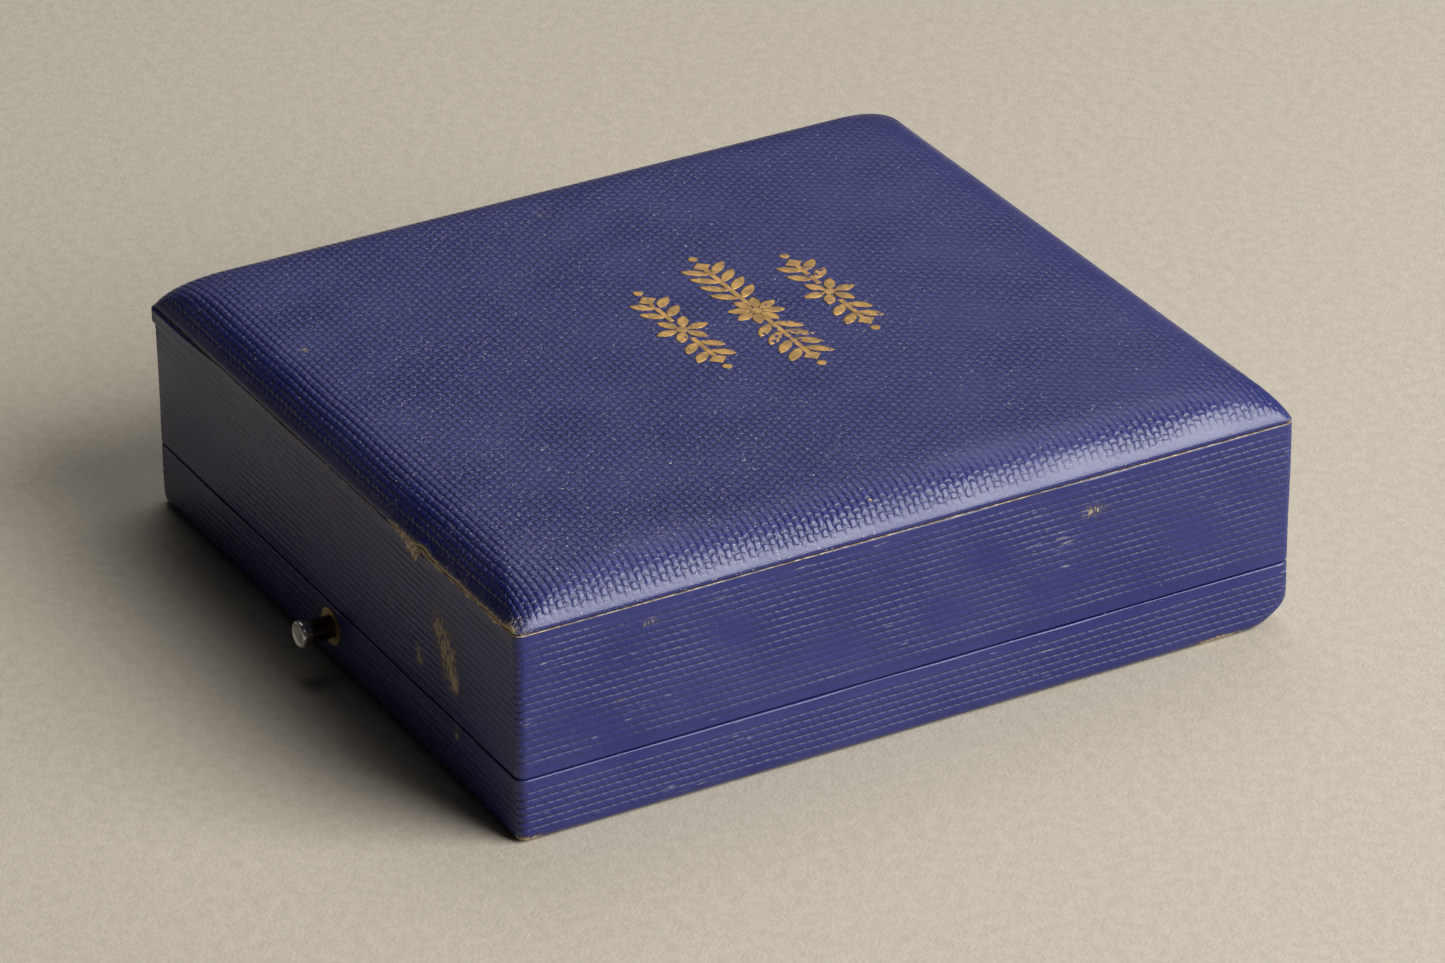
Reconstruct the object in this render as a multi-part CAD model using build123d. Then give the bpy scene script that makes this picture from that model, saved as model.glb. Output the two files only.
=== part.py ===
from build123d import *

import math
import os

# A hinged presentation case for a badge: a shallow base, a deep lid with a crowned top,
# a butt hinge let into the rear walls and a push-button catch in the front wall.
# Millimetres. Origin at the middle of the resting face, +Z up, the button faces -Y.

# ---- driving dimensions -------------------------------------------------------------
case_width = 80.5
case_depth = 88.0
parting_height = 7.15
parting_gap = 0.2
seam_height = 23.1
crown_rise = 3.9
crown_run = 9.0
crown_power = 4.2
crown_shoulder = 0.85
crown_levels = 9
crown_corner_growth = 1.5

covering = 0.35
turn_in = 0.2
turn_in_width = 8.0
corner_radius = 1.0
edge_round = 0.7
wall_thickness = 3.4
board_thickness = 1.5
crown_board_depth = 1.8
underside_sheet = 0.15
underside_margin = 2.5

hinge_length = 62.0
knuckle_count = 5
hinge_inset = 0.3
knuckle_radius = 0.95
knuckle_clearance = 0.15
knuckle_gap = 0.05
hinge_pin_radius = 0.4
pin_fit = 0.05
leaf_thickness = 0.4
bevel_angle = 52.0
tack_radius = 0.35
tack_length = 3.4
tack_line = 1.0
leaf_tack_positions = [-28.0, -14.0, 0.0, 14.0, 28.0]

button_height = 4.6
button_radius = 1.2
button_head_radius = 1.45
button_head_length = 0.9
button_head_round = 0.35
button_projection = 3.8
button_fit = 0.05
collar_radius = 1.5
collar_length = 0.45
bush_radius = 1.7
bush_length = 1.8
bush_flange = 0.15
bush_flange_lip = 0.3
counterbore_radius = 1.8
neck_radius = 0.9
tenon_radius = 0.6
rivet_radius = 1.0
rivet_length = 0.3

striker_thickness = 0.6
striker_half_width = 5.0
striker_low = 8.2
striker_high = 13.5
prong_inner = 1.3
prong_outer = 3.1
prong_low = 2.4
nose_height = 0.8
nose_reach = 0.7
striker_tack_x = 3.8
striker_tack_z = 11.6
tack_head_radius = 0.7
tack_head_height = 0.25

catch_half_width = 4.2
catch_thickness = 0.5
catch_low = 3.35
catch_high = 6.2
catch_lead_in = 0.3
catch_gap = 0.1
latch_pocket_half_width = 7.0
latch_pocket_length = 4.05
rim_plate_half_width = 7.5
rim_plate_low = 6.55
rim_plate_thickness = 0.4
rim_plate_overlap = 2.15
rim_slot_half_width = 3.5
rim_slot_gap = 0.15
rim_tack_x = 6.0
rim_tack_length = 3.2
spring_radius = 1.5
spring_wire_radius = 0.15
spring_turns = 4
spring_play = 0.05

insert_gap = 0.2
insert_board_top = 6.2
velvet_thickness = 0.6
velvet_floor = 0.5
recess_width = 48.0
recess_length = 62.0

lining_thickness = 0.6
lining_low_margin = 0.35
pad_card_thickness = 0.8
pad_thickness = 2.9
pad_edge_round = 1.2
pad_corner = 2.0
striker_bay_gap = 0.3
rim_bay_gap = 0.2

ornament_thickness = 0.06
ornament_centre = (-1.0, 5.5)
ornament_row_pitch = 8.6
leaf_width = 0.95
leaf_lean = 48
stem_width = 0.44
stem_start = 2.6
first_leaf = 3.4
rosette_petal = 1.9
rosette_eye = 0.5
petal_root = 0.8
lozenge_side = 1.1
dot_radius = 0.4
dot_gap = 1.9
row_end_gap = 4.0

worn_corner_reach = 3.6
worn_corner_height = 2.6

# ---- derived places -----------------------------------------------------------------
half_width = case_width / 2
half_depth = case_depth / 2
base_top = parting_height - parting_gap / 2
lid_bottom = parting_height + parting_gap / 2
wood_half_width = half_width - covering
wood_half_depth = half_depth - covering
room_half_width = wood_half_width - wall_thickness
room_half_depth = wood_half_depth - wall_thickness
wood_corner = corner_radius - covering
base_board_low = underside_sheet + turn_in
floor_height = base_board_low + board_thickness
base_wall_top = base_top - turn_in
lid_wall_low = lid_bottom + turn_in
lid_wall_top = seam_height - crown_board_depth
case_top = seam_height + crown_rise

hinge_y = half_depth - hinge_inset
knuckle_length = hinge_length / knuckle_count
knuckle_room = knuckle_radius + knuckle_clearance
tack_y = room_half_depth + tack_line

striker_face = -room_half_depth + striker_thickness
catch_face = striker_face + catch_gap
catch_back = catch_face + catch_thickness
spring_seat = -room_half_depth + latch_pocket_length
velvet_top = insert_board_top + velvet_thickness
pad_card_low = lid_wall_top - pad_card_thickness
pad_low = pad_card_low - pad_thickness


# ---- building blocks ----------------------------------------------------------------
def block(low, high):
    """A box between two opposite corners."""
    size = [b - a for a, b in zip(low, high)]
    middle = [(a + b) / 2 for a, b in zip(low, high)]
    return Pos(*middle) * Box(*size)


def prism(half_x, half_y, low, high, radius=0.0):
    """An upright prism on a centred rectangle, with rounded corners if a radius is given."""
    if radius > 0:
        outline = RectangleRounded(2 * half_x, 2 * half_y, radius)
    else:
        outline = Rectangle(2 * half_x, 2 * half_y)
    return Pos(0, 0, low) * extrude(outline, high - low)


def rod_along_x(radius, start, end, y, z):
    """A round bar parallel to X."""
    return Pos((start + end) / 2, y, z) * Rot(0, 90, 0) * Cylinder(radius, end - start)


def rod_along_y(radius, start, end, x, z):
    """A round bar parallel to Y."""
    return Pos(x, (start + end) / 2, z) * Rot(90, 0, 0) * Cylinder(radius, end - start)


def rod_along_z(radius, start, end, x, y):
    """A round bar parallel to Z."""
    return Pos(x, y, (start + end) / 2) * Cylinder(radius, end - start)


def ellipse_prism(half_x, half_y, low, high):
    """An upright prism on a centred ellipse."""
    return Pos(0, 0, low) * extrude(Ellipse(half_x, half_y), high - low)


# ---- shared cutters -----------------------------------------------------------------
def rear_bevel(direction):
    """The wedge cut from a rear edge so that the lid can swing back past upright."""
    reach = half_depth + 1 - hinge_y
    drop = direction * reach * math.tan(math.radians(bevel_angle))
    outline = Polyline(
        (hinge_y, parting_height),
        (hinge_y + reach, parting_height),
        (hinge_y + reach, parting_height + drop),
        close=True,
    )
    return extrude(Plane.YZ * make_face(outline), half_width + 1, both=True)


def hinge_room(leaf_low, leaf_high):
    """The rebate for one leaf and the round channel for the barrel."""
    half = hinge_length / 2
    rebate = block((-half, room_half_depth, leaf_low), (half, hinge_y, leaf_high))
    channel = rod_along_x(knuckle_room, -half, half, hinge_y, parting_height)
    return rebate + channel


def worn_corner(skin):
    """The block outside the slope worn on the base's rear right corner, skin being how far in the slope lies."""
    corner = Vector(half_width, half_depth, underside_sheet)
    outward = Vector(1 / worn_corner_reach, 1 / worn_corner_reach, -1 / worn_corner_height).normalized()
    foot = corner - Vector(worn_corner_reach, 0, 0) - outward * skin
    size = 4 * worn_corner_reach
    return Plane(origin=foot, z_dir=outward) * Pos(0, 0, size / 2) * Box(2 * size, 2 * size, size)


def rim_plate_block():
    """The outline of the catch's rim plate, also the rebate it is let into."""
    y_low = -room_half_depth - rim_plate_overlap
    y_high = spring_seat - insert_gap
    return block(
        (-rim_plate_half_width, y_low, rim_plate_low),
        (rim_plate_half_width, y_high, rim_plate_low + rim_plate_thickness),
    )


# ---- fasteners ----------------------------------------------------------------------
def leaf_tacks(start, end):
    """A row of brass pins through a hinge leaf, filed flush with it."""
    return [rod_along_z(tack_radius, start, end, x, tack_y) for x in leaf_tack_positions]


def rim_tacks():
    """The two pins that hold the rim plate to the front wall."""
    top = rim_plate_low + rim_plate_thickness
    y = -room_half_depth - rim_plate_overlap / 2
    return [rod_along_z(tack_radius, top - rim_tack_length, top, x, y) for x in (-rim_tack_x, rim_tack_x)]


def striker_tacks():
    """The two round-headed tacks that hold the striker to the lid's front wall."""
    tacks = []
    for x in (-striker_tack_x, striker_tack_x):
        shank = rod_along_y(tack_radius, striker_face - tack_length, striker_face, x, striker_tack_z)
        head = rod_along_y(tack_head_radius, striker_face, striker_face + tack_head_height, x, striker_tack_z)
        tacks.append(shank + head)
    return tacks


def without(body, cutters):
    """A body with a list of solids cut from it."""
    for cutter in cutters:
        body = body - cutter
    return body


# ---- wooden carcass -----------------------------------------------------------------
def four_walls(low, high):
    """Front, rear, left and right walls of a tray, butted at the corners."""
    outline = prism(wood_half_width, wood_half_depth, low, high, wood_corner)
    front = block(
        (-wood_half_width, -wood_half_depth, low), (wood_half_width, -room_half_depth, high)
    )
    rear = block(
        (-wood_half_width, room_half_depth, low), (wood_half_width, wood_half_depth, high)
    )
    left = block(
        (-wood_half_width, -room_half_depth, low), (-room_half_width, room_half_depth, high)
    )
    right = block(
        (room_half_width, -room_half_depth, low), (wood_half_width, room_half_depth, high)
    )
    return outline & front, outline & rear, left, right


def base_carcass():
    """The base's bottom board and its four walls, cut for the hinge and the catch."""
    front, rear, left, right = four_walls(floor_height, base_wall_top)
    bore = rod_along_y(bush_radius, -half_depth, -half_depth + covering + bush_length, 0, button_height)
    counterbore = rod_along_y(
        counterbore_radius,
        -half_depth + covering + bush_length,
        -room_half_depth,
        0,
        button_height,
    )
    front = without(front, [bore, counterbore, rim_plate_block()] + rim_tacks())
    leaf_low = base_top - leaf_thickness
    rear = without(
        rear,
        [rear_bevel(-1), hinge_room(leaf_low, base_top), worn_corner(covering)]
        + leaf_tacks(base_top - tack_length, base_top),
    )
    board = prism(wood_half_width, wood_half_depth, base_board_low, floor_height, wood_corner)
    board = board - worn_corner(covering)
    right = right - worn_corner(covering)
    return {
        "base_bottom_board": board,
        "base_front_wall": front,
        "base_rear_wall": rear,
        "base_left_wall": left,
        "base_right_wall": right,
    }


def lid_carcass():
    """The lid's four walls and the shaped board that crowns it."""
    front, rear, left, right = four_walls(lid_wall_low, lid_wall_top)
    front = without(front, striker_tacks())
    leaf_high = lid_bottom + leaf_thickness
    rear = without(
        rear,
        [rear_bevel(1), hinge_room(lid_bottom, leaf_high)] + leaf_tacks(lid_bottom, lid_bottom + tack_length),
    )
    return {
        "lid_front_wall": front,
        "lid_rear_wall": rear,
        "lid_left_wall": left,
        "lid_right_wall": right,
        "lid_crown_board": crown_board(),
    }


def crown(half_x, half_y, rise, run):
    """The pillow above the seam: rounded rectangles that draw in as they climb."""
    sections = []
    for level in range(crown_levels + 1):
        share = (level / crown_levels) ** 2
        inset = run * share
        height = rise * (1 - (1 - share) ** crown_power) ** crown_shoulder
        radius = corner_radius + inset * crown_corner_growth
        outline = RectangleRounded(2 * (half_x - inset), 2 * (half_y - inset), radius)
        sections.append(Pos(0, 0, seam_height + height) * outline)
    return loft(sections, ruled=True)


def crown_board():
    """The lid's top board: flat below, crowned above."""
    foot = prism(wood_half_width, wood_half_depth, lid_wall_top, seam_height, corner_radius)
    pillow = crown(wood_half_width, wood_half_depth, crown_rise - covering, crown_run - covering)
    return foot + pillow


# ---- covering -----------------------------------------------------------------------
def base_side_covering():
    """Leatherette round the base, turned in over the rim and under the bottom."""
    skin = prism(half_width, half_depth, underside_sheet, base_top, corner_radius)
    skin = fillet(skin.faces().sort_by(Axis.Z)[0].edges(), edge_round)
    bush_hole = rod_along_y(bush_radius, -half_depth - 1, -wood_half_depth, 0, button_height)
    wood = prism(wood_half_width, wood_half_depth, base_board_low, base_wall_top, wood_corner)
    leaf_low = base_top - leaf_thickness
    bottom_x = half_width - turn_in_width
    bottom_y = half_depth - turn_in_width
    return without(
        skin,
        [
            wood - worn_corner(covering),
            worn_corner(0),
            prism(bottom_x, bottom_y, underside_sheet, base_board_low),
            prism(room_half_width, room_half_depth, base_wall_top, base_top),
            rear_bevel(-1),
            hinge_room(leaf_low, base_top),
            rim_plate_block(),
            bush_hole,
        ],
    )


def lid_side_covering():
    """Leatherette round the lid's walls, turned in over the rim."""
    skin = prism(half_width, half_depth, lid_bottom, seam_height, corner_radius)
    leaf_high = lid_bottom + leaf_thickness
    return without(
        skin,
        [
            prism(wood_half_width, wood_half_depth, lid_wall_low, lid_wall_top, wood_corner),
            prism(wood_half_width, wood_half_depth, lid_wall_top, seam_height, corner_radius),
            prism(room_half_width, room_half_depth, lid_bottom, lid_wall_low),
            rear_bevel(1),
            hinge_room(lid_bottom, leaf_high),
        ],
    )


def lid_top_covering():
    """The separate sheet over the crown, its edge lying on the side covering's edge."""
    return crown(half_width, half_depth, crown_rise, crown_run) - crown_board()


def underside_paper():
    """The plain sheet pasted over the turned-in edges below the base."""
    return prism(
        half_width - underside_margin, half_depth - underside_margin, 0, underside_sheet, corner_radius
    )


# ---- inside of the base -------------------------------------------------------------
def latch_notch(low, high):
    """The bay behind the front wall where the catch works."""
    y_low = -room_half_depth - 1
    return block(
        (-latch_pocket_half_width, y_low, low), (latch_pocket_half_width, spring_seat, high)
    )


def insert_board():
    """The card platform under the velvet, pierced by the badge recess."""
    lining = velvet_floor
    board = prism(
        room_half_width - insert_gap, room_half_depth - insert_gap, floor_height, insert_board_top
    )
    well = ellipse_prism(
        recess_width / 2 + lining, recess_length / 2 + lining, floor_height, insert_board_top
    )
    return without(board, [well, latch_notch(floor_height, insert_board_top)])


def velvet_insert():
    """The velvet: a sheet over the platform that dips to line the badge recess."""
    top = prism(
        room_half_width - insert_gap, room_half_depth - insert_gap, insert_board_top, velvet_top
    )
    rim_bay = block(
        (-rim_plate_half_width - rim_bay_gap, -room_half_depth - 1, insert_board_top),
        (rim_plate_half_width + rim_bay_gap, spring_seat, velvet_top),
    )
    tub = ellipse_prism(
        recess_width / 2 + velvet_floor, recess_length / 2 + velvet_floor, floor_height, insert_board_top
    )
    well = ellipse_prism(recess_width / 2, recess_length / 2, floor_height + velvet_floor, velvet_top)
    return (top - rim_bay) + tub - well


# ---- inside of the lid --------------------------------------------------------------
def lid_wall_lining():
    """Satin on card round the lid's inner walls, cut away for the striker."""
    low = lid_bottom + lining_low_margin
    outer = prism(room_half_width, room_half_depth, low, pad_card_low)
    inner = prism(
        room_half_width - lining_thickness, room_half_depth - lining_thickness, low, pad_card_low
    )
    striker_bay = block(
        (-striker_half_width - striker_bay_gap, -room_half_depth - 1, low),
        (striker_half_width + striker_bay_gap, striker_face + 1, striker_high + striker_bay_gap),
    )
    return outer - inner - striker_bay


def lid_pad_card():
    """The stiff card that carries the satin pad."""
    return prism(room_half_width, room_half_depth, pad_card_low, lid_wall_top)


def lid_satin_pad():
    """The padded satin panel under the lid's top board."""
    edge = lining_thickness + insert_gap
    pad = prism(room_half_width - edge, room_half_depth - edge, pad_low, pad_card_low, pad_corner)
    return fillet(pad.faces().sort_by(Axis.Z)[0].edges(), pad_edge_round)


# ---- hinge --------------------------------------------------------------------------
def knuckle_spans(parity):
    """The stretches of the barrel that one leaf owns: every other knuckle."""
    start = -hinge_length / 2
    return [
        (start + n * knuckle_length, start + (n + 1) * knuckle_length)
        for n in range(knuckle_count)
        if n % 2 == parity
    ]


def hinge_leaf(low, high, parity, tacks):
    """A leaf with its own knuckles rolled on and the other leaf's cleared."""
    half = hinge_length / 2
    leaf = block((-half, room_half_depth, low), (half, hinge_y, high))
    for start, end in knuckle_spans(1 - parity):
        leaf -= rod_along_x(knuckle_room, start, end, hinge_y, parting_height)
    for start, end in knuckle_spans(parity):
        leaf += rod_along_x(knuckle_radius, start + knuckle_gap, end - knuckle_gap, hinge_y, parting_height)
    bore = rod_along_x(hinge_pin_radius + pin_fit, -half, half, hinge_y, parting_height)
    return without(leaf, [bore] + tacks)


def hinge_parts():
    """Both leaves, the pin they share and their tacks."""
    base_tacks = leaf_tacks(base_top - tack_length, base_top)
    lid_tacks = leaf_tacks(lid_bottom, lid_bottom + tack_length)
    half = hinge_length / 2
    return {
        "base_hinge_leaf": hinge_leaf(base_top - leaf_thickness, base_top, 0, base_tacks),
        "lid_hinge_leaf": hinge_leaf(lid_bottom, lid_bottom + leaf_thickness, 1, lid_tacks),
        "hinge_pin": rod_along_x(hinge_pin_radius, -half, half, hinge_y, parting_height),
        "base_leaf_tacks": Compound(children=base_tacks),
        "lid_leaf_tacks": Compound(children=lid_tacks),
    }


# ---- push-button catch --------------------------------------------------------------
def push_button():
    """The turned plunger: domed head, shank, stop collar, neck and riveted tail."""
    tip = -half_depth - button_projection
    head_end = tip + button_head_length
    bush_end = -half_depth + covering + bush_length
    collar_start = bush_end + button_fit
    collar_end = collar_start + collar_length
    head = rod_along_y(button_head_radius, tip, head_end, 0, button_height)
    head = fillet(head.faces().sort_by(Axis.Y)[0].edges(), button_head_round)
    stretches = [
        (button_radius, head_end, collar_start),
        (collar_radius, collar_start, collar_end),
        (neck_radius, collar_end, catch_face),
        (tenon_radius, catch_face, catch_back),
        (rivet_radius, catch_back, catch_back + rivet_length),
    ]
    plunger = head
    for radius, start, end in stretches:
        plunger += rod_along_y(radius, start, end, 0, button_height)
    return plunger


def button_bush():
    """The flanged tube that guides the plunger through the front wall."""
    outer = -half_depth
    inner = -half_depth + covering + bush_length
    flange_radius = bush_radius + bush_flange_lip
    tube = rod_along_y(bush_radius, outer, inner, 0, button_height)
    flange = rod_along_y(flange_radius, outer - bush_flange, outer, 0, button_height)
    bore = rod_along_y(button_radius + button_fit, outer - 1, inner + 1, 0, button_height)
    return tube + flange - bore


def catch_plate():
    """The plate riveted to the plunger, whose lower edge holds the striker's noses."""
    plate = block(
        (-catch_half_width, catch_face, catch_low), (catch_half_width, catch_back, catch_high)
    )
    edge = plate.edges().filter_by(Axis.X).group_by(Axis.Z)[-1].sort_by(Axis.Y)[0]
    plate = chamfer(edge, catch_lead_in)
    return plate - rod_along_y(tenon_radius, catch_face, catch_back, 0, button_height)


def latch_rim_plate():
    """The slotted plate over the catch, let into the rim of the front wall."""
    slot = block(
        (-rim_slot_half_width, -room_half_depth - rim_slot_gap, rim_plate_low - 1),
        (rim_slot_half_width, striker_face + nose_reach + rim_slot_gap, base_top + 1),
    )
    return without(rim_plate_block(), [slot] + rim_tacks())


def return_spring():
    """The coil that pushes the catch plate back over the striker's noses."""
    length = spring_seat - catch_back - 2 * spring_wire_radius - 2 * spring_play
    helix = Helix(pitch=length / spring_turns, height=length, radius=spring_radius)
    section = Plane(origin=helix @ 0, z_dir=helix % 0) * Circle(spring_wire_radius)
    coil = sweep(section, path=helix, is_frenet=True)
    start = spring_seat - spring_wire_radius - spring_play
    return Pos(0, start, button_height) * Rot(90, 0, 0) * coil


def striker():
    """The forked plate on the lid: two prongs straddle the plunger and hook under the catch."""
    face = -room_half_depth
    plate = block(
        (-striker_half_width, face, striker_low), (striker_half_width, striker_face, striker_high)
    )
    for side in (-1, 1):
        near, far = sorted((side * prong_inner, side * prong_outer))
        plate += block((near, face, prong_low), (far, striker_face, striker_low))
        plate += block(
            (near, striker_face, prong_low), (far, striker_face + nose_reach, prong_low + nose_height)
        )
    return without(plate, striker_tacks())


def catch_parts():
    """Every piece of the push-button catch."""
    return {
        "push_button": push_button(),
        "button_bush": button_bush(),
        "catch_plate": catch_plate(),
        "return_spring": return_spring(),
        "latch_rim_plate": latch_rim_plate(),
        "rim_plate_tacks": Compound(children=rim_tacks()),
        "striker_fork": striker(),
        "striker_tacks": Compound(children=striker_tacks()),
    }


# ---- gilt ornament ------------------------------------------------------------------
def leaf_shape(length, width):
    """A pointed leaf along X from the origin, made of two arcs."""
    upper = ThreePointArc((0, 0), (length / 2, width / 2), (length, 0))
    lower = ThreePointArc((length, 0), (length / 2, -width / 2), (0, 0))
    return make_face([upper, lower])


def spray(length, width, angles):
    """Leaves that fan out from one point."""
    return [Rot(0, 0, a) * Pos(petal_root, 0) * leaf_shape(length, width) for a in angles]


def row_end(x, side):
    """A lozenge and a dot that close a row of the ornament."""
    lozenge = Pos(x, 0) * Rot(0, 0, 45) * Rectangle(lozenge_side, lozenge_side)
    dot = Pos(x + side * dot_gap, 0) * Circle(dot_radius)
    return [lozenge, dot]


def branch(reach, count, leaf_length, side):
    """A stem to one side, with paired leaves that lean outwards."""
    shapes = [Pos(side * (reach / 2 + stem_start), 0) * Rectangle(reach, stem_width)]
    for n in range(count):
        x = side * (first_leaf + n * (reach - 1.2) / max(count - 1, 1))
        for up in (-1, 1):
            angle = up * leaf_lean if side > 0 else 180 - up * leaf_lean
            shapes.append(Pos(x, up * 0.45) * Rot(0, 0, angle) * leaf_shape(leaf_length, leaf_width))
    return shapes


def ornament_row(reach, count, leaf_length, petals):
    """One symmetric row: a rosette with a leafy branch on each side."""
    step = 360 / petals
    shapes = [Circle(rosette_eye)] + spray(rosette_petal, leaf_width, [n * step + step / 2 for n in range(petals)])
    for side in (-1, 1):
        shapes += branch(reach, count, leaf_length, side)
        shapes += row_end(side * (reach + row_end_gap), side)
    return shapes


def gilt_ornament():
    """A stamped device of three leafy rows, the middle one the widest."""
    rows = [
        (1, ornament_row(3.4, 2, 2.1, 6)),
        (0, ornament_row(7.4, 4, 2.5, 8)),
        (-1, ornament_row(3.4, 2, 2.1, 6)),
    ]
    x, y = ornament_centre
    pieces = []
    for place, shapes in rows:
        row = Sketch() + shapes
        foil = extrude(row, ornament_thickness)
        pieces += (Pos(x, y + place * ornament_row_pitch, case_top) * foil).solids()
    return Compound(children=pieces)


# ---- output -------------------------------------------------------------------------
def case_parts():
    """Every node of the case, by name."""
    parts = {}
    parts.update(base_carcass())
    parts.update(lid_carcass())
    parts.update(hinge_parts())
    parts.update(catch_parts())
    parts["base_side_covering"] = base_side_covering()
    parts["base_underside_paper"] = underside_paper()
    parts["insert_board"] = insert_board()
    parts["velvet_insert"] = velvet_insert()
    parts["lid_side_covering"] = lid_side_covering()
    parts["lid_top_covering"] = lid_top_covering()
    parts["lid_wall_lining"] = lid_wall_lining()
    parts["lid_pad_card"] = lid_pad_card()
    parts["lid_satin_pad"] = lid_satin_pad()
    parts["gilt_ornament"] = gilt_ornament()
    return parts


os.makedirs("parts", exist_ok=True)
for node, shape in case_parts().items():
    export_step(shape, f"parts/{node}.step")
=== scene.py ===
"""Looks for a hinged presentation case, built round its packed working model.

The case has a ribbed leather-cloth shell with a crowned lid, a gilt leafy device, a push-button
catch, a velvet bed and a padded satin lid. Lengths are metres in the case's own frame: the origin
is in the middle of the resting face, +Z is up, the button faces -Y and the hinge is at +Y.
"""
import logging
import math
from dataclasses import dataclass
from enum import Enum
from typing import Optional, Sequence, Union

import bmesh
import bpy
import numpy as np
from mathutils import Matrix, Vector
from mathutils.bvhtree import BVHTree


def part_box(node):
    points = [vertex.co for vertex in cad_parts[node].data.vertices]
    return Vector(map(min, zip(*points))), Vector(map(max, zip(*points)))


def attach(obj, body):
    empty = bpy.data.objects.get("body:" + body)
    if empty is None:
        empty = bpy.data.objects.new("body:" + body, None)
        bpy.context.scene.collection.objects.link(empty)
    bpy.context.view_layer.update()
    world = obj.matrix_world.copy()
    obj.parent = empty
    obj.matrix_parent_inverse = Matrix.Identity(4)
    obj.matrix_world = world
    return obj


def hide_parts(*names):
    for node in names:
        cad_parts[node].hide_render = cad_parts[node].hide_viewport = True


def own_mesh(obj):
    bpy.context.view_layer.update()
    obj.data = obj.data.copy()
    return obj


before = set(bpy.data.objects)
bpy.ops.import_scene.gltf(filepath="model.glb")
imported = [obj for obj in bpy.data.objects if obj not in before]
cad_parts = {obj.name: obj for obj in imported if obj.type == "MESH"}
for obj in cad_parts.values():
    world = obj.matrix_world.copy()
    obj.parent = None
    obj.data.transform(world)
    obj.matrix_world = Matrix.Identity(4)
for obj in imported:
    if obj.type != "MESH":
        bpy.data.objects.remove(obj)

Array = np.ndarray
Colour = tuple[float, float, float, float]
Point = tuple[float, float, float]
Profile = tuple[tuple[float, float], ...]
Feed = Union[bpy.types.NodeSocket, float, Sequence[float], None]

MM = 0.001
LOG = logging.getLogger("case")

CLOTH_BLUE: Colour = (0.0125, 0.0165, 0.118, 1)
RIB_PITCH = 0.81 * MM
DASH_LENGTH = 1.07 * MM
ROWS_PER_RIB = 4
RIB_RELIEF = 0.034 * MM
CLOTH_THICKNESS = 0.35 * MM
HINGE_Y = 43.7 * MM
REAR_BEVEL = math.radians(52)
HALF_GAP = 0.1 * MM
TEAR_START = 13.5 * MM
TEAR_FULL = 15.5 * MM


class Body(str, Enum):
    """The bodies that pieces ride on."""

    BASE = "base"
    LID = "lid"
    PLUNGER = "plunger"


class Slot(str, Enum):
    """The record's material slots for the pieces built here."""

    LEATHERETTE = "leatherette"
    CARD = "card"
    VELVET = "velvet"
    SATIN = "satin"
    PLATED = "plated_brass"
    SPRING = "spring_steel"
    GILT = "gilt"


class Side(Enum):
    """The stretches of a wall's outline, in order anticlockwise from the front."""

    FRONT = 0
    RIGHT = 1
    REAR = 2
    LEFT = 3
    CORNER = 4


# ---- number helpers ------------------------------------------------------------------
def smooth(value: Array, low: float, high: float) -> Array:
    """Ease a value from 0 at low to 1 at high.

    Args:
        value: The values to ease.
        low: Where the result is 0.
        high: Where the result is 1.

    Returns:
        The eased values, from 0 to 1.
    """
    share = np.clip((np.asarray(value) - low) / (high - low), 0, 1)
    return share * share * (3 - 2 * share)


def drift(a: Array, b: Array, length: float, seed: int) -> Array:
    """Give slow smooth unevenness over two coordinates.

    Args:
        a: The first coordinate.
        b: The second coordinate.
        length: The usual distance between one swell and the next.
        seed: Which unevenness to draw.

    Returns:
        Values mostly between -1 and 1.
    """
    waves = 7
    draw = np.random.default_rng(seed)
    total = np.zeros(np.broadcast(a, b).shape)
    for _ in range(waves):
        turn, phase = draw.uniform(0, 2 * np.pi, 2)
        wave = length * draw.uniform(0.55, 1.6)
        total = total + np.sin(2 * np.pi * (a * np.cos(turn) + b * np.sin(turn)) / wave + phase)
    return total / math.sqrt(waves)


def wander(a: Array, length: float, seed: int) -> Array:
    """Give slow smooth unevenness along one coordinate."""
    return drift(a, 0 * a, length, seed)


def plateau(value: Array, rise: tuple[float, float], fall: tuple[float, float]) -> Array:
    """Ease up from 0 to 1 over one stretch and down again over another."""
    return smooth(value, *rise) * (1 - smooth(value, *fall))


def ridge(phase: Array) -> Array:
    """Give a rib's height, 0 in the groove and 1 on top, at a place counted in ribs."""
    return 1 - np.abs(2 * (phase - np.floor(phase)) - 1) ** 3


@dataclass(frozen=True)
class Rub:
    """A rubbed or dented spot, in millimetres: its middle, how far it spreads and how hard it is."""

    place: Point
    spread: Point
    depth: float

    def at(self, points: Array) -> Array:
        """Give how strongly the spot is felt at each point."""
        away = (points / MM - np.array(self.place)) / np.array(self.spread)
        return self.depth * np.exp(-(away**2).sum(-1))


def rubbed(points: Array, rubs: Sequence[Rub]) -> Array:
    """Add up what a list of spots does at each point.

    Args:
        points: Points in metres, the last axis being x, y and z.
        rubs: The spots.

    Returns:
        One value for each point.
    """
    return sum((rub.at(points) for rub in rubs), np.zeros(points.shape[:-1]))


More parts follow.
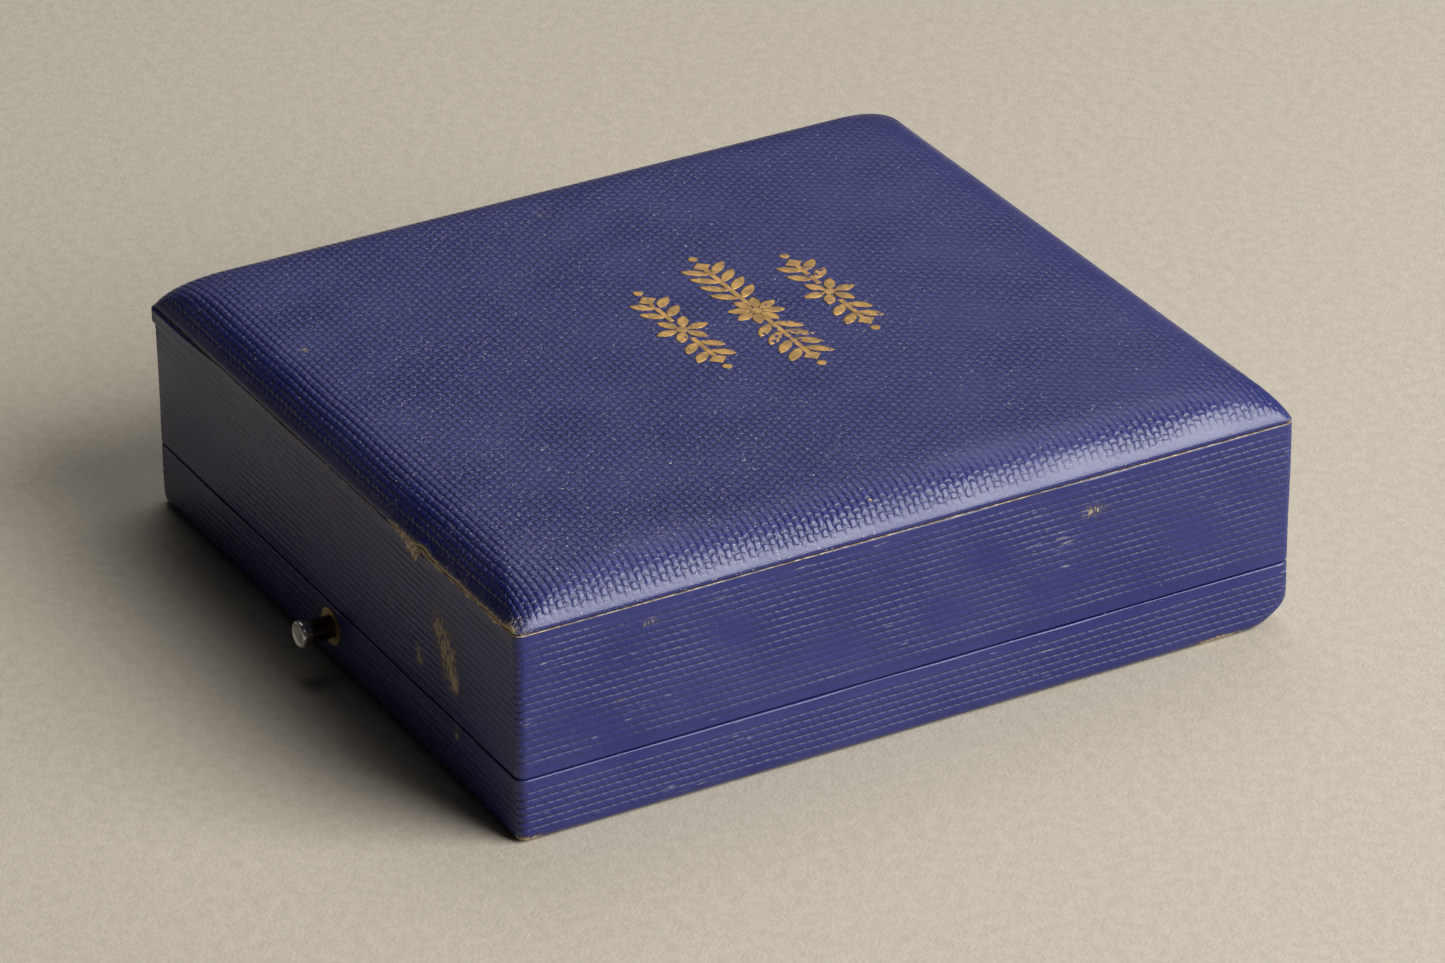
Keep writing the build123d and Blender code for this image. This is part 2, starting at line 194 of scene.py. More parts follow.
# ---- mesh helpers --------------------------------------------------------------------
def grid_faces(rows: int, cols: int, rows_closed: bool, cols_closed: bool, start: int = 0) -> Array:
    """List the quads of a grid of points.

    Args:
        rows: How many rows of points there are.
        cols: How many points each row has.
        rows_closed: Whether the last row joins the first.
        cols_closed: Whether each row's last point joins its first.
        start: The first point's number.

    Returns:
        An array of four point numbers for each quad.
    """
    i = np.arange(rows if rows_closed else rows - 1)[:, None]
    j = np.arange(cols if cols_closed else cols - 1)[None, :]
    corners = [(i, j), (i, j + 1), (i + 1, j + 1), (i + 1, j)]
    quads = [(a % rows) * cols + b % cols for a, b in corners]
    return np.stack(np.broadcast_arrays(*quads), -1).reshape(-1, 4) + start


def tube_faces(rows: int, cols: int) -> list:
    """List the faces of a tube of points, with both of its ends closed."""
    last = (rows - 1) * cols
    ends = [list(range(cols))[::-1], list(range(last, last + cols))]
    return grid_faces(rows, cols, False, True).tolist() + ends


def in_scene(name: str, data: bpy.types.ID) -> bpy.types.Object:
    """Make an object from its data and put it in the scene."""
    thing = bpy.data.objects.new(name, data)
    bpy.context.scene.collection.objects.link(thing)
    return thing


def dress(mesh: bpy.types.Mesh, finish: bpy.types.Material) -> None:
    """Shade a mesh smoothly and give it its only finish."""
    mesh.polygons.foreach_set("use_smooth", [True] * len(mesh.polygons))
    mesh.materials.clear()
    mesh.materials.append(finish)


def new_piece(
    name: str, points: Array, faces: Sequence, finish: bpy.types.Material
) -> bpy.types.Object:
    """Make a smooth-shaded mesh object in the scene.

    Args:
        name: The piece's name.
        points: Its points, with x, y and z on the last axis.
        faces: Its faces, as lists of point numbers.
        finish: Its material.

    Returns:
        The new object.
    """
    mesh = bpy.data.meshes.new(name)
    mesh.from_pydata(np.asarray(points).reshape(-1, 3).tolist(), [], [list(map(int, f)) for f in faces])
    dress(mesh, finish)
    return in_scene(name, mesh)


def paint(mesh: bpy.types.Mesh, name: str, values: Array, domain: str = "POINT") -> None:
    """Store values on a mesh for its finish to read.

    Args:
        mesh: The mesh.
        name: The name the finish reads.
        values: One number, or one x, y, z, for each point or face corner.
        domain: POINT or CORNER.
    """
    vector = values.ndim == 2
    attribute = mesh.attributes.new(name, "FLOAT_VECTOR" if vector else "FLOAT", domain)
    attribute.data.foreach_set("vector" if vector else "value", values.astype(np.float32).ravel())


def settled(piece: bpy.types.Object) -> bpy.types.Mesh:
    """Copy a piece's mesh as its modifiers leave it."""
    graph = bpy.context.evaluated_depsgraph_get()
    return bpy.data.meshes.new_from_object(piece.evaluated_get(graph), depsgraph=graph)


def place(piece: bpy.types.Object, body: Body, slot: Slot, stands_for: Sequence[str] = ()) -> None:
    """Hang a piece on its body and hide the plain solids that it stands for.

    Args:
        piece: The piece.
        body: The body it rides on.
        slot: The record's slot for its finish; not used.
        stands_for: The names of the plain solids.
    """
    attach(piece, body.value)
    if stands_for:
        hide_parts(*stands_for)
    LOG.info("%s: %d faces, on %s", piece.name, len(piece.data.polygons), body.value)


# ---- shader wiring -------------------------------------------------------------------
class Wiring:
    """Adds shader nodes to one tree and joins them up."""

    def __init__(self, tree: bpy.types.NodeTree) -> None:
        """Keep the tree."""
        self.tree = tree

    def plug(self, socket: bpy.types.NodeSocket, value: Feed) -> None:
        """Join or set one input."""
        if isinstance(value, bpy.types.NodeSocket):
            self.tree.links.new(value, socket)
        elif value is not None:
            socket.default_value = value

    def add(self, kind: str, feeds: Optional[dict] = None, **settings: object) -> bpy.types.Node:
        """Add a node.

        Args:
            kind: The node's type.
            feeds: Its inputs, by name or number.
            settings: Its other settings.

        Returns:
            The node.
        """
        node = self.tree.nodes.new(kind)
        for key, value in settings.items():
            setattr(node, key, value)
        for key, value in (feeds or {}).items():
            self.plug(node.inputs[key], value)
        return node

    def math(self, operation: str, a: Feed, b: Feed = None, c: Feed = None) -> bpy.types.NodeSocket:
        """Do a sum on one, two or three values."""
        return self.add("ShaderNodeMath", {0: a, 1: b, 2: c}, operation=operation).outputs[0]

    def times(self, a: Feed, b: Feed) -> bpy.types.NodeSocket:
        """Multiply two values."""
        return self.math("MULTIPLY", a, b)

    def plus(self, a: Feed, b: Feed) -> bpy.types.NodeSocket:
        """Add two values."""
        return self.math("ADD", a, b)

    def rest(self, a: Feed) -> bpy.types.NodeSocket:
        """Give what a value leaves of 1."""
        return self.math("SUBTRACT", 1.0, a)

    def ease(self, value: Feed, low: Feed, high: Feed) -> bpy.types.NodeSocket:
        """Ease a value from 0 at low to 1 at high."""
        feeds = {"Value": value, "From Min": low, "From Max": high}
        return self.add("ShaderNodeMapRange", feeds, interpolation_type="SMOOTHSTEP").outputs[0]

    def between(self, value: Feed, low: float, high: float) -> bpy.types.NodeSocket:
        """Spread a value of 0 to 1 over a range."""
        feeds = {"Value": value, "To Min": low, "To Max": high}
        return self.add("ShaderNodeMapRange", feeds).outputs[0]

    def blend(self, share: Feed, a: Feed, b: Feed, how: str = "MIX") -> bpy.types.NodeSocket:
        """Mix two colours."""
        feeds = {0: share, 6: a, 7: b}
        return self.add("ShaderNodeMix", feeds, data_type="RGBA", blend_type=how).outputs[2]

    def noise(
        self, where: Feed, scale: Feed, detail: float = 3.0, warp: float = 0.0
    ) -> bpy.types.NodeSocket:
        """Make cloudy noise with a number of swells to the metre."""
        feeds = {"Vector": where, "Scale": scale, "Detail": detail, "Distortion": warp}
        return self.add("ShaderNodeTexNoise", feeds).outputs[0]

    def stretch(self, where: Feed, x: float, y: float, z: float) -> bpy.types.NodeSocket:
        """Scale coordinates by a factor along each axis."""
        return self.add("ShaderNodeMapping", {"Vector": where, "Scale": (x, y, z)}).outputs[0]

    def bump(self, height: Feed, distance: float, under: Feed = None) -> bpy.types.NodeSocket:
        """Turn a height of 0 to 1 into a normal, over another normal if one is given."""
        feeds = {"Height": height, "Distance": distance, "Normal": under}
        return self.add("ShaderNodeBump", feeds).outputs[0]

    def here(self) -> bpy.types.NodeSocket:
        """Give the place on the piece, in metres."""
        return self.add("ShaderNodeTexCoord").outputs["Object"]

    def stored(self, name: str, kind: str = "Fac") -> bpy.types.NodeSocket:
        """Read a value that paint() stored."""
        return self.add("ShaderNodeAttribute", attribute_name=name).outputs[kind]


class Effects:
    """The shader node groups that several finishes share, each built once."""

    def __init__(self) -> None:
        """Build every group."""
        self.groups = {}
        self.rib_weave()
        self.grain()
        self.dust()
        self.rub()
        self.patina()

    def begin(self, name: str, inputs: dict, outputs: Sequence[str]) -> tuple[Wiring, dict, dict]:
        """Start a group.

        Args:
            name: The group's name.
            inputs: Each input's name, with a number's usual value or None for a vector.
            outputs: The names of the outputs, which are numbers.

        Returns:
            The wiring, the sockets that give the inputs and the sockets that take the outputs.
        """
        tree = bpy.data.node_groups.new(name, "ShaderNodeTree")
        for key, usual in inputs.items():
            kind = "NodeSocketVector" if usual is None else "NodeSocketFloat"
            socket = tree.interface.new_socket(key, in_out="INPUT", socket_type=kind)
            if usual is not None:
                socket.default_value = usual
        for key in outputs:
            tree.interface.new_socket(key, in_out="OUTPUT", socket_type="NodeSocketFloat")
        self.groups[name] = tree
        wiring = Wiring(tree)
        inlet = wiring.add("NodeGroupInput").outputs
        outlet = wiring.add("NodeGroupOutput").inputs
        return wiring, {key: inlet[key] for key in inputs}, {key: outlet[key] for key in outputs}

    def use(self, wiring: Wiring, name: str, **feeds: Feed) -> dict:
        """Place a group in a material.

        Args:
            wiring: The material's wiring.
            name: The group's name.
            feeds: The group's inputs.

        Returns:
            The group's outputs, by name.
        """
        node = wiring.add("ShaderNodeGroup", node_tree=self.groups[name])
        for key, value in feeds.items():
            wiring.plug(node.inputs[key], value)
        return {socket.name: socket for socket in node.outputs}

    def rib_weave(self) -> None:
        """Embossed ribs, each cut across into short pads that are staggered from rib to rib."""
        inputs = {"Lay": None, "Place": None, "Cut": 1.0}
        w, given, out = self.begin("rib_weave", inputs, ["Height", "Groove"])
        lay = w.add("ShaderNodeSeparateXYZ", {0: given["Lay"]}).outputs
        fold = w.math("ABSOLUTE", w.math("MULTIPLY_ADD", w.math("FRACT", lay["Y"]), 2.0, -1.0))
        rib = w.rest(w.math("POWER", fold, 3.0))
        stagger = w.math("FRACT", w.times(w.math("FLOOR", lay["Y"]), 0.5))
        wobble = w.times(w.noise(given["Place"], 600.0, 2.0), 1.1)
        along = w.math("FRACT", w.plus(w.plus(lay["X"], stagger), wobble))
        cut = w.math("ABSOLUTE", w.math("SUBTRACT", along, 0.5))
        notch = w.rest(w.ease(cut, 0.05, 0.27))
        depth = w.between(w.noise(given["Place"], 900.0, 2.0), 0.45, 1.15)
        depth = w.times(depth, given["Cut"])
        pad = w.rest(w.times(notch, depth))
        height = w.times(w.times(rib, pad), lay["Z"])
        w.plug(out["Height"], height)
        # Groove: how deep in a rib groove a point lies; the cloth uses it for painted shade with some dirt.
        low = w.rest(w.ease(w.times(rib, pad), 0.1, 0.75))
        w.plug(out["Groove"], w.times(low, lay["Z"]))

    def grain(self) -> None:
        """Fine pebbling, with a slow change of tone from place to place."""
        w, given, out = self.begin("grain", {"Place": None, "Scale": 5000.0}, ["Height", "Tone"])
        cells = w.add("ShaderNodeTexVoronoi", {"Vector": given["Place"], "Scale": given["Scale"]})
        fine = w.noise(given["Place"], 9000.0, 3.0)
        w.plug(out["Height"], w.plus(cells.outputs[0], w.times(fine, 0.8)))
        w.plug(out["Tone"], w.ease(w.noise(given["Place"], 75.0, 5.0, 0.4), 0.3, 0.7))

    def dust(self) -> None:
        """Small pale specks of several sizes, in some cells and not in others."""
        w, given, out = self.begin("dust", {"Place": None, "Amount": 0.5}, ["Mask"])
        found = None
        for scale, least, most in ((620.0, 0.04, 0.09), (1400.0, 0.06, 0.14), (2700.0, 0.1, 0.24)):
            cells = w.add("ShaderNodeTexVoronoi", {"Vector": given["Place"], "Scale": scale})
            luck = w.add("ShaderNodeSeparateColor", {0: cells.outputs["Color"]}).outputs
            chosen = w.math("LESS_THAN", luck[0], given["Amount"])
            size = w.between(luck[1], least, most)
            core = w.times(size, 0.5)
            speck = w.rest(w.ease(cells.outputs["Distance"], core, size))
            speck = w.times(w.times(speck, chosen), w.between(luck[2], 0.25, 1.0))
            found = speck if found is None else w.math("MAXIMUM", found, speck)
        w.plug(out["Mask"], found)

    def rub(self) -> None:
        """Ragged rubbing that breaks through where a stored strength is high."""
        w, given, out = self.begin("rub", {"Place": None, "Strength": 0.0}, ["Mask", "Scuff"])
        coarse = w.noise(given["Place"], 1700.0, 6.0, 0.6)
        fine = w.noise(w.stretch(given["Place"], 1.0, 1.0, 0.3), 5600.0, 4.0)
        ragged = w.plus(w.times(coarse, 0.4), w.times(fine, 1.1))
        pull = w.plus(ragged, given["Strength"])
        w.plug(out["Mask"], w.ease(pull, 1.22, 1.36))
        w.plug(out["Scuff"], w.ease(pull, 0.9, 1.3))

    def patina(self) -> None:
        """Uneven tarnish with fine rubbing lines along Y."""
        w, given, out = self.begin("patina", {"Place": None, "Scale": 900.0}, ["Tarnish", "Lines"])
        cloud = w.noise(given["Place"], given["Scale"], 8.0)
        w.plug(out["Tarnish"], w.ease(cloud, 0.25, 0.8))
        w.plug(out["Lines"], w.noise(w.stretch(given["Place"], 1.0, 0.06, 1.0), 14000.0, 3.0))


# ---- finishes ------------------------------------------------------------------------
@dataclass(frozen=True)
class Finish:
    """What every finish shares: its name, and how its material is begun."""

    name: str

    def begin(self, **constants: Feed) -> tuple[bpy.types.Material, Wiring, dict]:
        """Start a material with one Principled shader.

        Args:
            constants: Inputs that are the same all over, by name with _ for each space.

        Returns:
            The material, its wiring and the shader's inputs.
        """
        material = bpy.data.materials.new(self.name)
        material.use_nodes = True
        wiring = Wiring(material.node_tree)
        shader = material.node_tree.nodes["Principled BSDF"].inputs
        for key, value in constants.items():
            wiring.plug(shader[key.replace("_", " ")], value)
        return material, wiring, shader


@dataclass(frozen=True)
class Leatherette(Finish):
    """Deep blue leather cloth with embossed ribs, soft gloss, rubbed spots and dust; its rib grooves get
    painted shade with some dirt, and its walls pale scratches with painted glints.
    """

    blue: Colour = CLOTH_BLUE
    faded: Colour = (0.022, 0.026, 0.135, 1)
    # The deep blue of the painted shade, with some dirt, in the rib grooves.
    groove: Colour = (0.006, 0.007, 0.045, 1)
    core: Colour = (0.42, 0.33, 0.2, 1)
    bruise: Colour = (0.07, 0.062, 0.075, 1)
    # Pale colour of the dust specks, and of the scratches and painted glints along the wall ribs.
    speck: Colour = (0.55, 0.52, 0.5, 1)
    gloss: float = 0.22

    def make(self, effects: Effects) -> bpy.types.Material:
        """Build the material from the stored lay, wear and dust of each piece."""
        material, w, shader = self.begin(Specular_IOR_Level=0.5)
        here = w.here()
        lay = w.stored("lay", "Vector")
        ribs = effects.use(w, "rib_weave", Lay=lay, Place=here, Cut=w.stored("cut"))
        grain = effects.use(w, "grain", Place=here)
        rub = effects.use(w, "rub", Place=here, Strength=w.stored("wear"))
        dust = effects.use(w, "dust", Place=here, Amount=w.stored("dust"))
        colour = w.blend(grain["Tone"], self.blue, self.faded)
        # Painted shade, with some dirt: the rib grooves are darkened towards a deep blue.
        colour = w.blend(w.times(ribs["Groove"], 0.7), colour, self.groove)
        colour = w.blend(w.times(rub["Scuff"], 0.55), colour, self.bruise)
        colour = w.blend(rub["Mask"], colour, self.core)
        # Pale streaks along the ribs of the walls: partly scratches, partly painted glints where the ribs
        # catch the light.
        streak = w.noise(w.stretch(here, 0.1, 0.1, 1.0), 3800.0, 3.0)
        patch = w.noise(here, 140.0, 3.0)
        scratch_and_glint = w.ease(w.plus(streak, w.times(patch, 0.35)), 0.87, 0.97)
        scratch_and_glint = w.times(scratch_and_glint, w.rest(w.stored("flat")))
        colour = w.blend(w.times(scratch_and_glint, 0.4), colour, self.speck)
        colour = w.blend(dust["Mask"], colour, self.speck)
        w.plug(shader["Base Color"], colour)
        rough = w.between(grain["Tone"], self.gloss, self.gloss + 0.1)
        rough = w.plus(rough, w.times(ribs["Groove"], 0.12))
        emboss = w.add("ShaderNodeSeparateXYZ", {0: lay}).outputs["Z"]
        rough = w.plus(rough, w.times(emboss, 0.08))
        rough = w.plus(rough, w.times(rub["Scuff"], 0.25))
        w.plug(shader["Roughness"], w.plus(rough, w.times(dust["Mask"], 0.3)))
        normal = w.bump(ribs["Height"], 0.085 * MM)
        normal = w.bump(grain["Height"], 0.007 * MM, normal)
        w.plug(shader["Normal"], w.bump(rub["Mask"], -0.05 * MM, normal))
        return material


@dataclass(frozen=True)
class Gilt(Finish):
    """Stamped metal foil, rubbed away in places to the blue cloth below."""

    bright: Colour = (0.68, 0.4, 0.13, 1)
    dull: Colour = (0.4, 0.24, 0.09, 1)
    blue: Colour = CLOTH_BLUE

    def make(self, effects: Effects) -> bpy.types.Material:
        """Build the material from the stored rib height under the foil."""
        material, w, shader = self.begin()
        here = w.here()
        grain = effects.use(w, "grain", Place=here)
        fine = w.noise(here, 1500.0, 5.0, 0.5)
        worn = w.plus(fine, w.times(w.noise(here, 260.0, 2.0), 0.5))
        worn = w.math("SUBTRACT", worn, w.times(w.stored("relief"), 0.22))
        gone = w.ease(worn, 0.78, 0.88)
        colour = w.blend(w.ease(w.noise(here, 700.0, 4.0), 0.35, 0.65), self.bright, self.dull)
        w.plug(shader["Base Color"], w.blend(gone, colour, self.blue))
        w.plug(shader["Metallic"], w.times(w.rest(gone), 0.75))
        w.plug(shader["Roughness"], w.between(grain["Tone"], 0.36, 0.5))
        w.plug(shader["Normal"], w.bump(grain["Height"], 0.01 * MM))
        return material


@dataclass(frozen=True)
class TornCore(Finish):
    """The pale fibrous core of the cloth and card where they are torn."""

    pale: Colour = (0.7, 0.58, 0.4, 1)
    brown: Colour = (0.24, 0.165, 0.095, 1)

    def make(self, effects: Effects) -> bpy.types.Material:
        """Build the material."""
        material, w, shader = self.begin(Roughness=0.9, Specular_IOR_Level=0.2)
        here = w.here()
        fibre = w.noise(w.stretch(here, 0.4, 0.4, 1.0), 5200.0, 5.0, 0.8)
        stain = w.noise(here, 520.0, 4.0)
        tone = w.plus(w.times(fibre, 0.5), w.times(stain, 0.5))
        w.plug(shader["Base Color"], w.blend(w.ease(tone, 0.42, 0.62), self.brown, self.pale))
        w.plug(shader["Normal"], w.bump(fibre, 0.05 * MM))
        return material


@dataclass(frozen=True)
class Velvet(Finish):
    """Short dense pile that lightens where it is seen aslant."""

    deep: Colour = (0.006, 0.009, 0.06, 1)
    brushed: Colour = (0.014, 0.019, 0.11, 1)

    def make(self, effects: Effects) -> bpy.types.Material:
        """Build the material."""
        material, w, shader = self.begin(
            Sheen_Weight=0.8, Sheen_Roughness=0.35, Sheen_Tint=(0.45, 0.52, 1, 1),
            Specular_IOR_Level=0.1,
        )
        here = w.here()
        nap = w.noise(here, 70.0, 4.0, 1.2)
        pile = w.noise(here, 9000.0, 2.0)
        w.plug(shader["Base Color"], w.blend(w.ease(nap, 0.35, 0.65), self.deep, self.brushed))
        w.plug(shader["Roughness"], w.between(nap, 0.8, 1.0))
        rough = w.bump(nap, 0.5 * MM)
        w.plug(shader["Normal"], w.bump(pile, 0.1 * MM, rough))
        return material


@dataclass(frozen=True)
class Satin(Finish):
    """Cream satin with fine threads, a silky gloss and slight yellowing."""

    cream: Colour = (0.82, 0.75, 0.6, 1)
    yellowed: Colour = (0.74, 0.64, 0.45, 1)

    def make(self, effects: Effects) -> bpy.types.Material:
        """Build the material."""
        material, w, shader = self.begin(Sheen_Weight=0.3, Anisotropic=0.6, Specular_IOR_Level=0.6)
        here = w.here()
        age = w.noise(here, 55.0, 5.0, 0.5)
        threads = w.noise(w.stretch(here, 1.0, 0.05, 1.0), 9000.0, 2.0)
        w.plug(shader["Base Color"], w.blend(w.ease(age, 0.35, 0.7), self.cream, self.yellowed))
        w.plug(shader["Roughness"], w.between(threads, 0.28, 0.42))
        w.plug(shader["Normal"], w.bump(threads, 0.02 * MM))
        return material


@dataclass(frozen=True)
class Metal(Finish):
    """Metal with tarnish and rubbing lines: bright where it was handled, dull elsewhere."""

    bright: Colour = (0.8, 0.6, 0.3, 1)
    dull: Colour = (0.4, 0.28, 0.13, 1)
    smoothness: float = 0.28

    def make(self, effects: Effects) -> bpy.types.Material:
        """Build the material."""
        material, w, shader = self.begin(Metallic=1.0)
        patina = effects.use(w, "patina", Place=w.here())
        w.plug(shader["Base Color"], w.blend(patina["Tarnish"], self.bright, self.dull))
        rough = w.between(patina["Tarnish"], self.smoothness, self.smoothness + 0.25)
        w.plug(shader["Roughness"], w.plus(rough, w.times(patina["Lines"], 0.1)))
        w.plug(shader["Normal"], w.bump(patina["Lines"], 0.006 * MM))
        return material


@dataclass(frozen=True)
class PlatedBrass(Finish):
    """Nickel plate, bright on the end disc and worn to dark brass along the shank."""

    plate: Colour = (0.72, 0.71, 0.68, 1)
    bronze: Colour = (0.11, 0.062, 0.03, 1)

    def make(self, effects: Effects) -> bpy.types.Material:
        """Build the material from the stored share of plate left."""
        material, w, shader = self.begin(Metallic=1.0)
        here = w.here()
        patina = effects.use(w, "patina", Place=here, Scale=1400.0)
        left = w.plus(w.stored("plate"), w.times(patina["Tarnish"], -0.35))
        w.plug(shader["Base Color"], w.blend(w.ease(left, 0.15, 0.5), self.bronze, self.plate))
        w.plug(shader["Roughness"], w.between(patina["Tarnish"], 0.22, 0.45))
        w.plug(shader["Normal"], w.bump(patina["Lines"], 0.01 * MM))
        return material


@dataclass(frozen=True)
class Fibrous(Finish):
    """Wood, card or paper: two tones drawn out along one axis, and a dry surface."""

    light: Colour
    dark: Colour
    along: Point
    scale: float
    relief: float

    def make(self, effects: Effects) -> bpy.types.Material:
        """Build the material."""
        material, w, shader = self.begin(Specular_IOR_Level=0.25)
        fibre = w.noise(w.stretch(w.here(), *self.along), self.scale, 5.0, 0.5)
        w.plug(shader["Base Color"], w.blend(w.ease(fibre, 0.3, 0.7), self.dark, self.light))
        w.plug(shader["Roughness"], w.between(fibre, 0.92, 0.72))
        w.plug(shader["Normal"], w.bump(fibre, self.relief))
        return material


@dataclass(frozen=True)
class PaleBoard(Finish):
    """The warm pale board that the case stands on."""

    light: Colour = (0.505, 0.455, 0.372, 1)
    dark: Colour = (0.445, 0.399, 0.324, 1)

    def make(self, effects: Effects) -> bpy.types.Material:
        """Build the material."""
        material, w, shader = self.begin(Roughness=0.85, Specular_IOR_Level=0.2)
        here = w.here()
        mottle = w.noise(here, 760.0, 6.0)
        fleck = w.noise(here, 2400.0, 3.0)
        tone = w.plus(w.times(mottle, 0.6), w.times(fleck, 0.4))
        w.plug(shader["Base Color"], w.blend(w.ease(tone, 0.35, 0.65), self.dark, self.light))
        w.plug(shader["Normal"], w.bump(fleck, 0.06 * MM))
        return material


class Finishes:
    """Every finish of the case, made once."""

    def __init__(self) -> None:
        """Build the shared effects, then each material."""
        effects = Effects()
        wood = Fibrous(
            "sawn_wood", light=(0.55, 0.4, 0.24, 1), dark=(0.4, 0.27, 0.14, 1),
            along=(0.08, 1.0, 1.0), scale=900.0, relief=0.05 * MM,
        )
        card = Fibrous(
            "grey_card", light=(0.42, 0.35, 0.26, 1), dark=(0.3, 0.25, 0.18, 1),
            along=(1.0, 1.0, 1.0), scale=1600.0, relief=0.02 * MM,
        )
        paper = Fibrous(
            "underside_paper", light=(0.03, 0.034, 0.12, 1), dark=(0.014, 0.016, 0.07, 1),
            along=(1.0, 0.5, 1.0), scale=1300.0, relief=0.02 * MM,
        )
        steel = Metal("dull_steel", (0.5, 0.49, 0.47, 1), (0.2, 0.17, 0.15, 1), 0.3)
        spring = Metal("blued_steel", (0.3, 0.31, 0.34, 1), (0.12, 0.11, 0.13, 1), 0.26)
        self.leatherette = Leatherette("ribbed_leatherette").make(effects)
        self.gilt = Gilt("stamped_gilt").make(effects)
        self.core = TornCore("torn_core").make(effects)
        self.velvet = Velvet("blue_velvet").make(effects)
        self.satin = Satin("cream_satin").make(effects)
        self.brass = Metal("tarnished_brass").make(effects)
        self.steel = steel.make(effects)
        self.spring = spring.make(effects)
        self.plated = PlatedBrass("worn_plate").make(effects)
        self.wood = wood.make(effects)
        self.card = card.make(effects)
        self.paper = paper.make(effects)
        self.board = PaleBoard("pale_board").make(effects)


# ---- the lid's crown -----------------------------------------------------------------
@dataclass
class LidTop:
    """The sheet of ribbed cloth over the lid's crown, torn along the front seam."""

    run: float = 9.0 * MM
    power: float = 4.2
    shoulder: float = 0.85
    corner: float = 1.0 * MM
    corner_growth: float = 1.5
    columns: int = 51
    coarser: int = 4
    gathering: float = 0.055
    samples: int = 900
    crowding: float = 2.2
    halvings: int = 44
    crushed: float = 1.5 * MM
    dents: Sequence[Rub] = (
        Rub((-31.6, -3.1, 27.0), (2.2, 1.3, 3.0), 0.16),
        Rub((7.8, 32.7, 27.0), (0.9, 0.9, 3.0), 0.06),
        Rub((9.5, 30.9, 27.0), (0.7, 0.7, 3.0), 0.05),
        Rub((-8.0, -22.0, 27.0), (6.0, 5.0, 3.0), 0.05),
    )
    rubs: Sequence[Rub] = (
        Rub((-16.2, -38.1, 26.5), (0.7, 0.4, 2.0), 0.75),
        Rub((22.9, -41.6, 25.0), (0.5, 0.4, 2.0), 0.6),
        Rub((38.0, -3.9, 26.0), (0.3, 0.3, 1.5), 0.7),
        Rub((-31.6, -3.1, 27.0), (1.6, 0.8, 2.0), 0.4),
        Rub((40.0, 43.7, 24.0), (1.2, 1.2, 2.0), 0.35),
        Rub((39.6, -43.4, 24.0), (1.5, 1.5, 2.0), 0.4),
    )

    def __post_init__(self) -> None:
        """Read the crown's size and work out how its edge curve unrolls."""
        low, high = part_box("lid_top_covering")
        self.half = (high.x, high.y)
        self.seam = low.z
        self.rise = high.z - low.z
        self.insets = self.run * np.linspace(0, 1, self.samples) ** self.crowding
        heights = self.rise * (1 - (1 - self.insets / self.run) ** self.power) ** self.shoulder
        steps = np.hypot(np.diff(self.insets), np.diff(heights))
        self.lengths = np.concatenate([[0], np.cumsum(steps)])

    def half_length(self, half: float) -> float:
        """Give the length over the crown from its middle to the seam."""
        return half - self.run + self.lengths[-1]

    def plan(self, half: float, along: Array) -> Array:
        """Turn a length measured over the crown into a place in plan."""
        edge = self.half_length(half) - np.abs(along)
        bevel = np.interp(edge, self.lengths, self.insets)
        flat = self.run + edge - self.lengths[-1]
        return np.sign(along) * (half - np.where(edge < self.lengths[-1], bevel, flat))

    def rounded(self, x: Array, y: Array) -> tuple[Array, Array]:
        """Draw the plan's square corners in to round ones."""
        p = np.clip((np.abs(x) - self.half[0]) / self.corner + 1, 0, None)
        q = np.clip((np.abs(y) - self.half[1]) / self.corner + 1, 0, None)
        pull_x = p * (np.sqrt(np.clip(1 - q**2 / 2, 0, 1)) - 1) * self.corner
        pull_y = q * (np.sqrt(np.clip(1 - p**2 / 2, 0, 1)) - 1) * self.corner
        return x + np.sign(x) * pull_x, y + np.sign(y) * pull_y

    def height(self, x: Array, y: Array) -> Array:
        """Give the crown's height over a place in plan.

        Args:
            x: Places along X.
            y: Places along Y.

        Returns:
            The height of the smooth crown, without its ribs.
        """
        low = np.zeros(x.shape)
        high = np.full(x.shape, self.run)
        for _ in range(self.halvings):
            inset = (low + high) / 2
            radius = self.corner + self.corner_growth * inset
            past_x = np.abs(x) - (self.half[0] - inset - radius)
            past_y = np.abs(y) - (self.half[1] - inset - radius)
            out = np.hypot(np.maximum(past_x, 0), np.maximum(past_y, 0))
            inside = out + np.minimum(np.maximum(past_x, past_y), 0) < radius
            low = np.where(inside, inset, low)
            high = np.where(inside, high, inset)
        share = np.clip(1 - low / self.run, 0, 1)
        return self.seam + self.rise * (1 - share**self.power) ** self.shoulder

    def lift(self, x: Array) -> Array:
        """Give how far the torn front edge stands up from the seam at each place along X."""
        ragged = 0.1 + 0.05 * wander(x, 1.1 * MM, 31) + 0.04 * wander(x, 0.45 * MM, 32)
        torn = smooth(x, TEAR_START, TEAR_FULL) * np.clip(ragged, 0.02, 0.25)
        notch = 0.5 * np.exp(-(((x / MM - 21.3) / 1.1) ** 2))
        return (torn + notch) * MM

    def columns_along(self, total: float) -> Array:
        """Space the columns of points, closer over the curved edges than in the middle."""
        share = np.linspace(-1, 1, self.coarser * self.columns + 1)
        return total * (share + self.gathering * np.sin(np.pi * share))

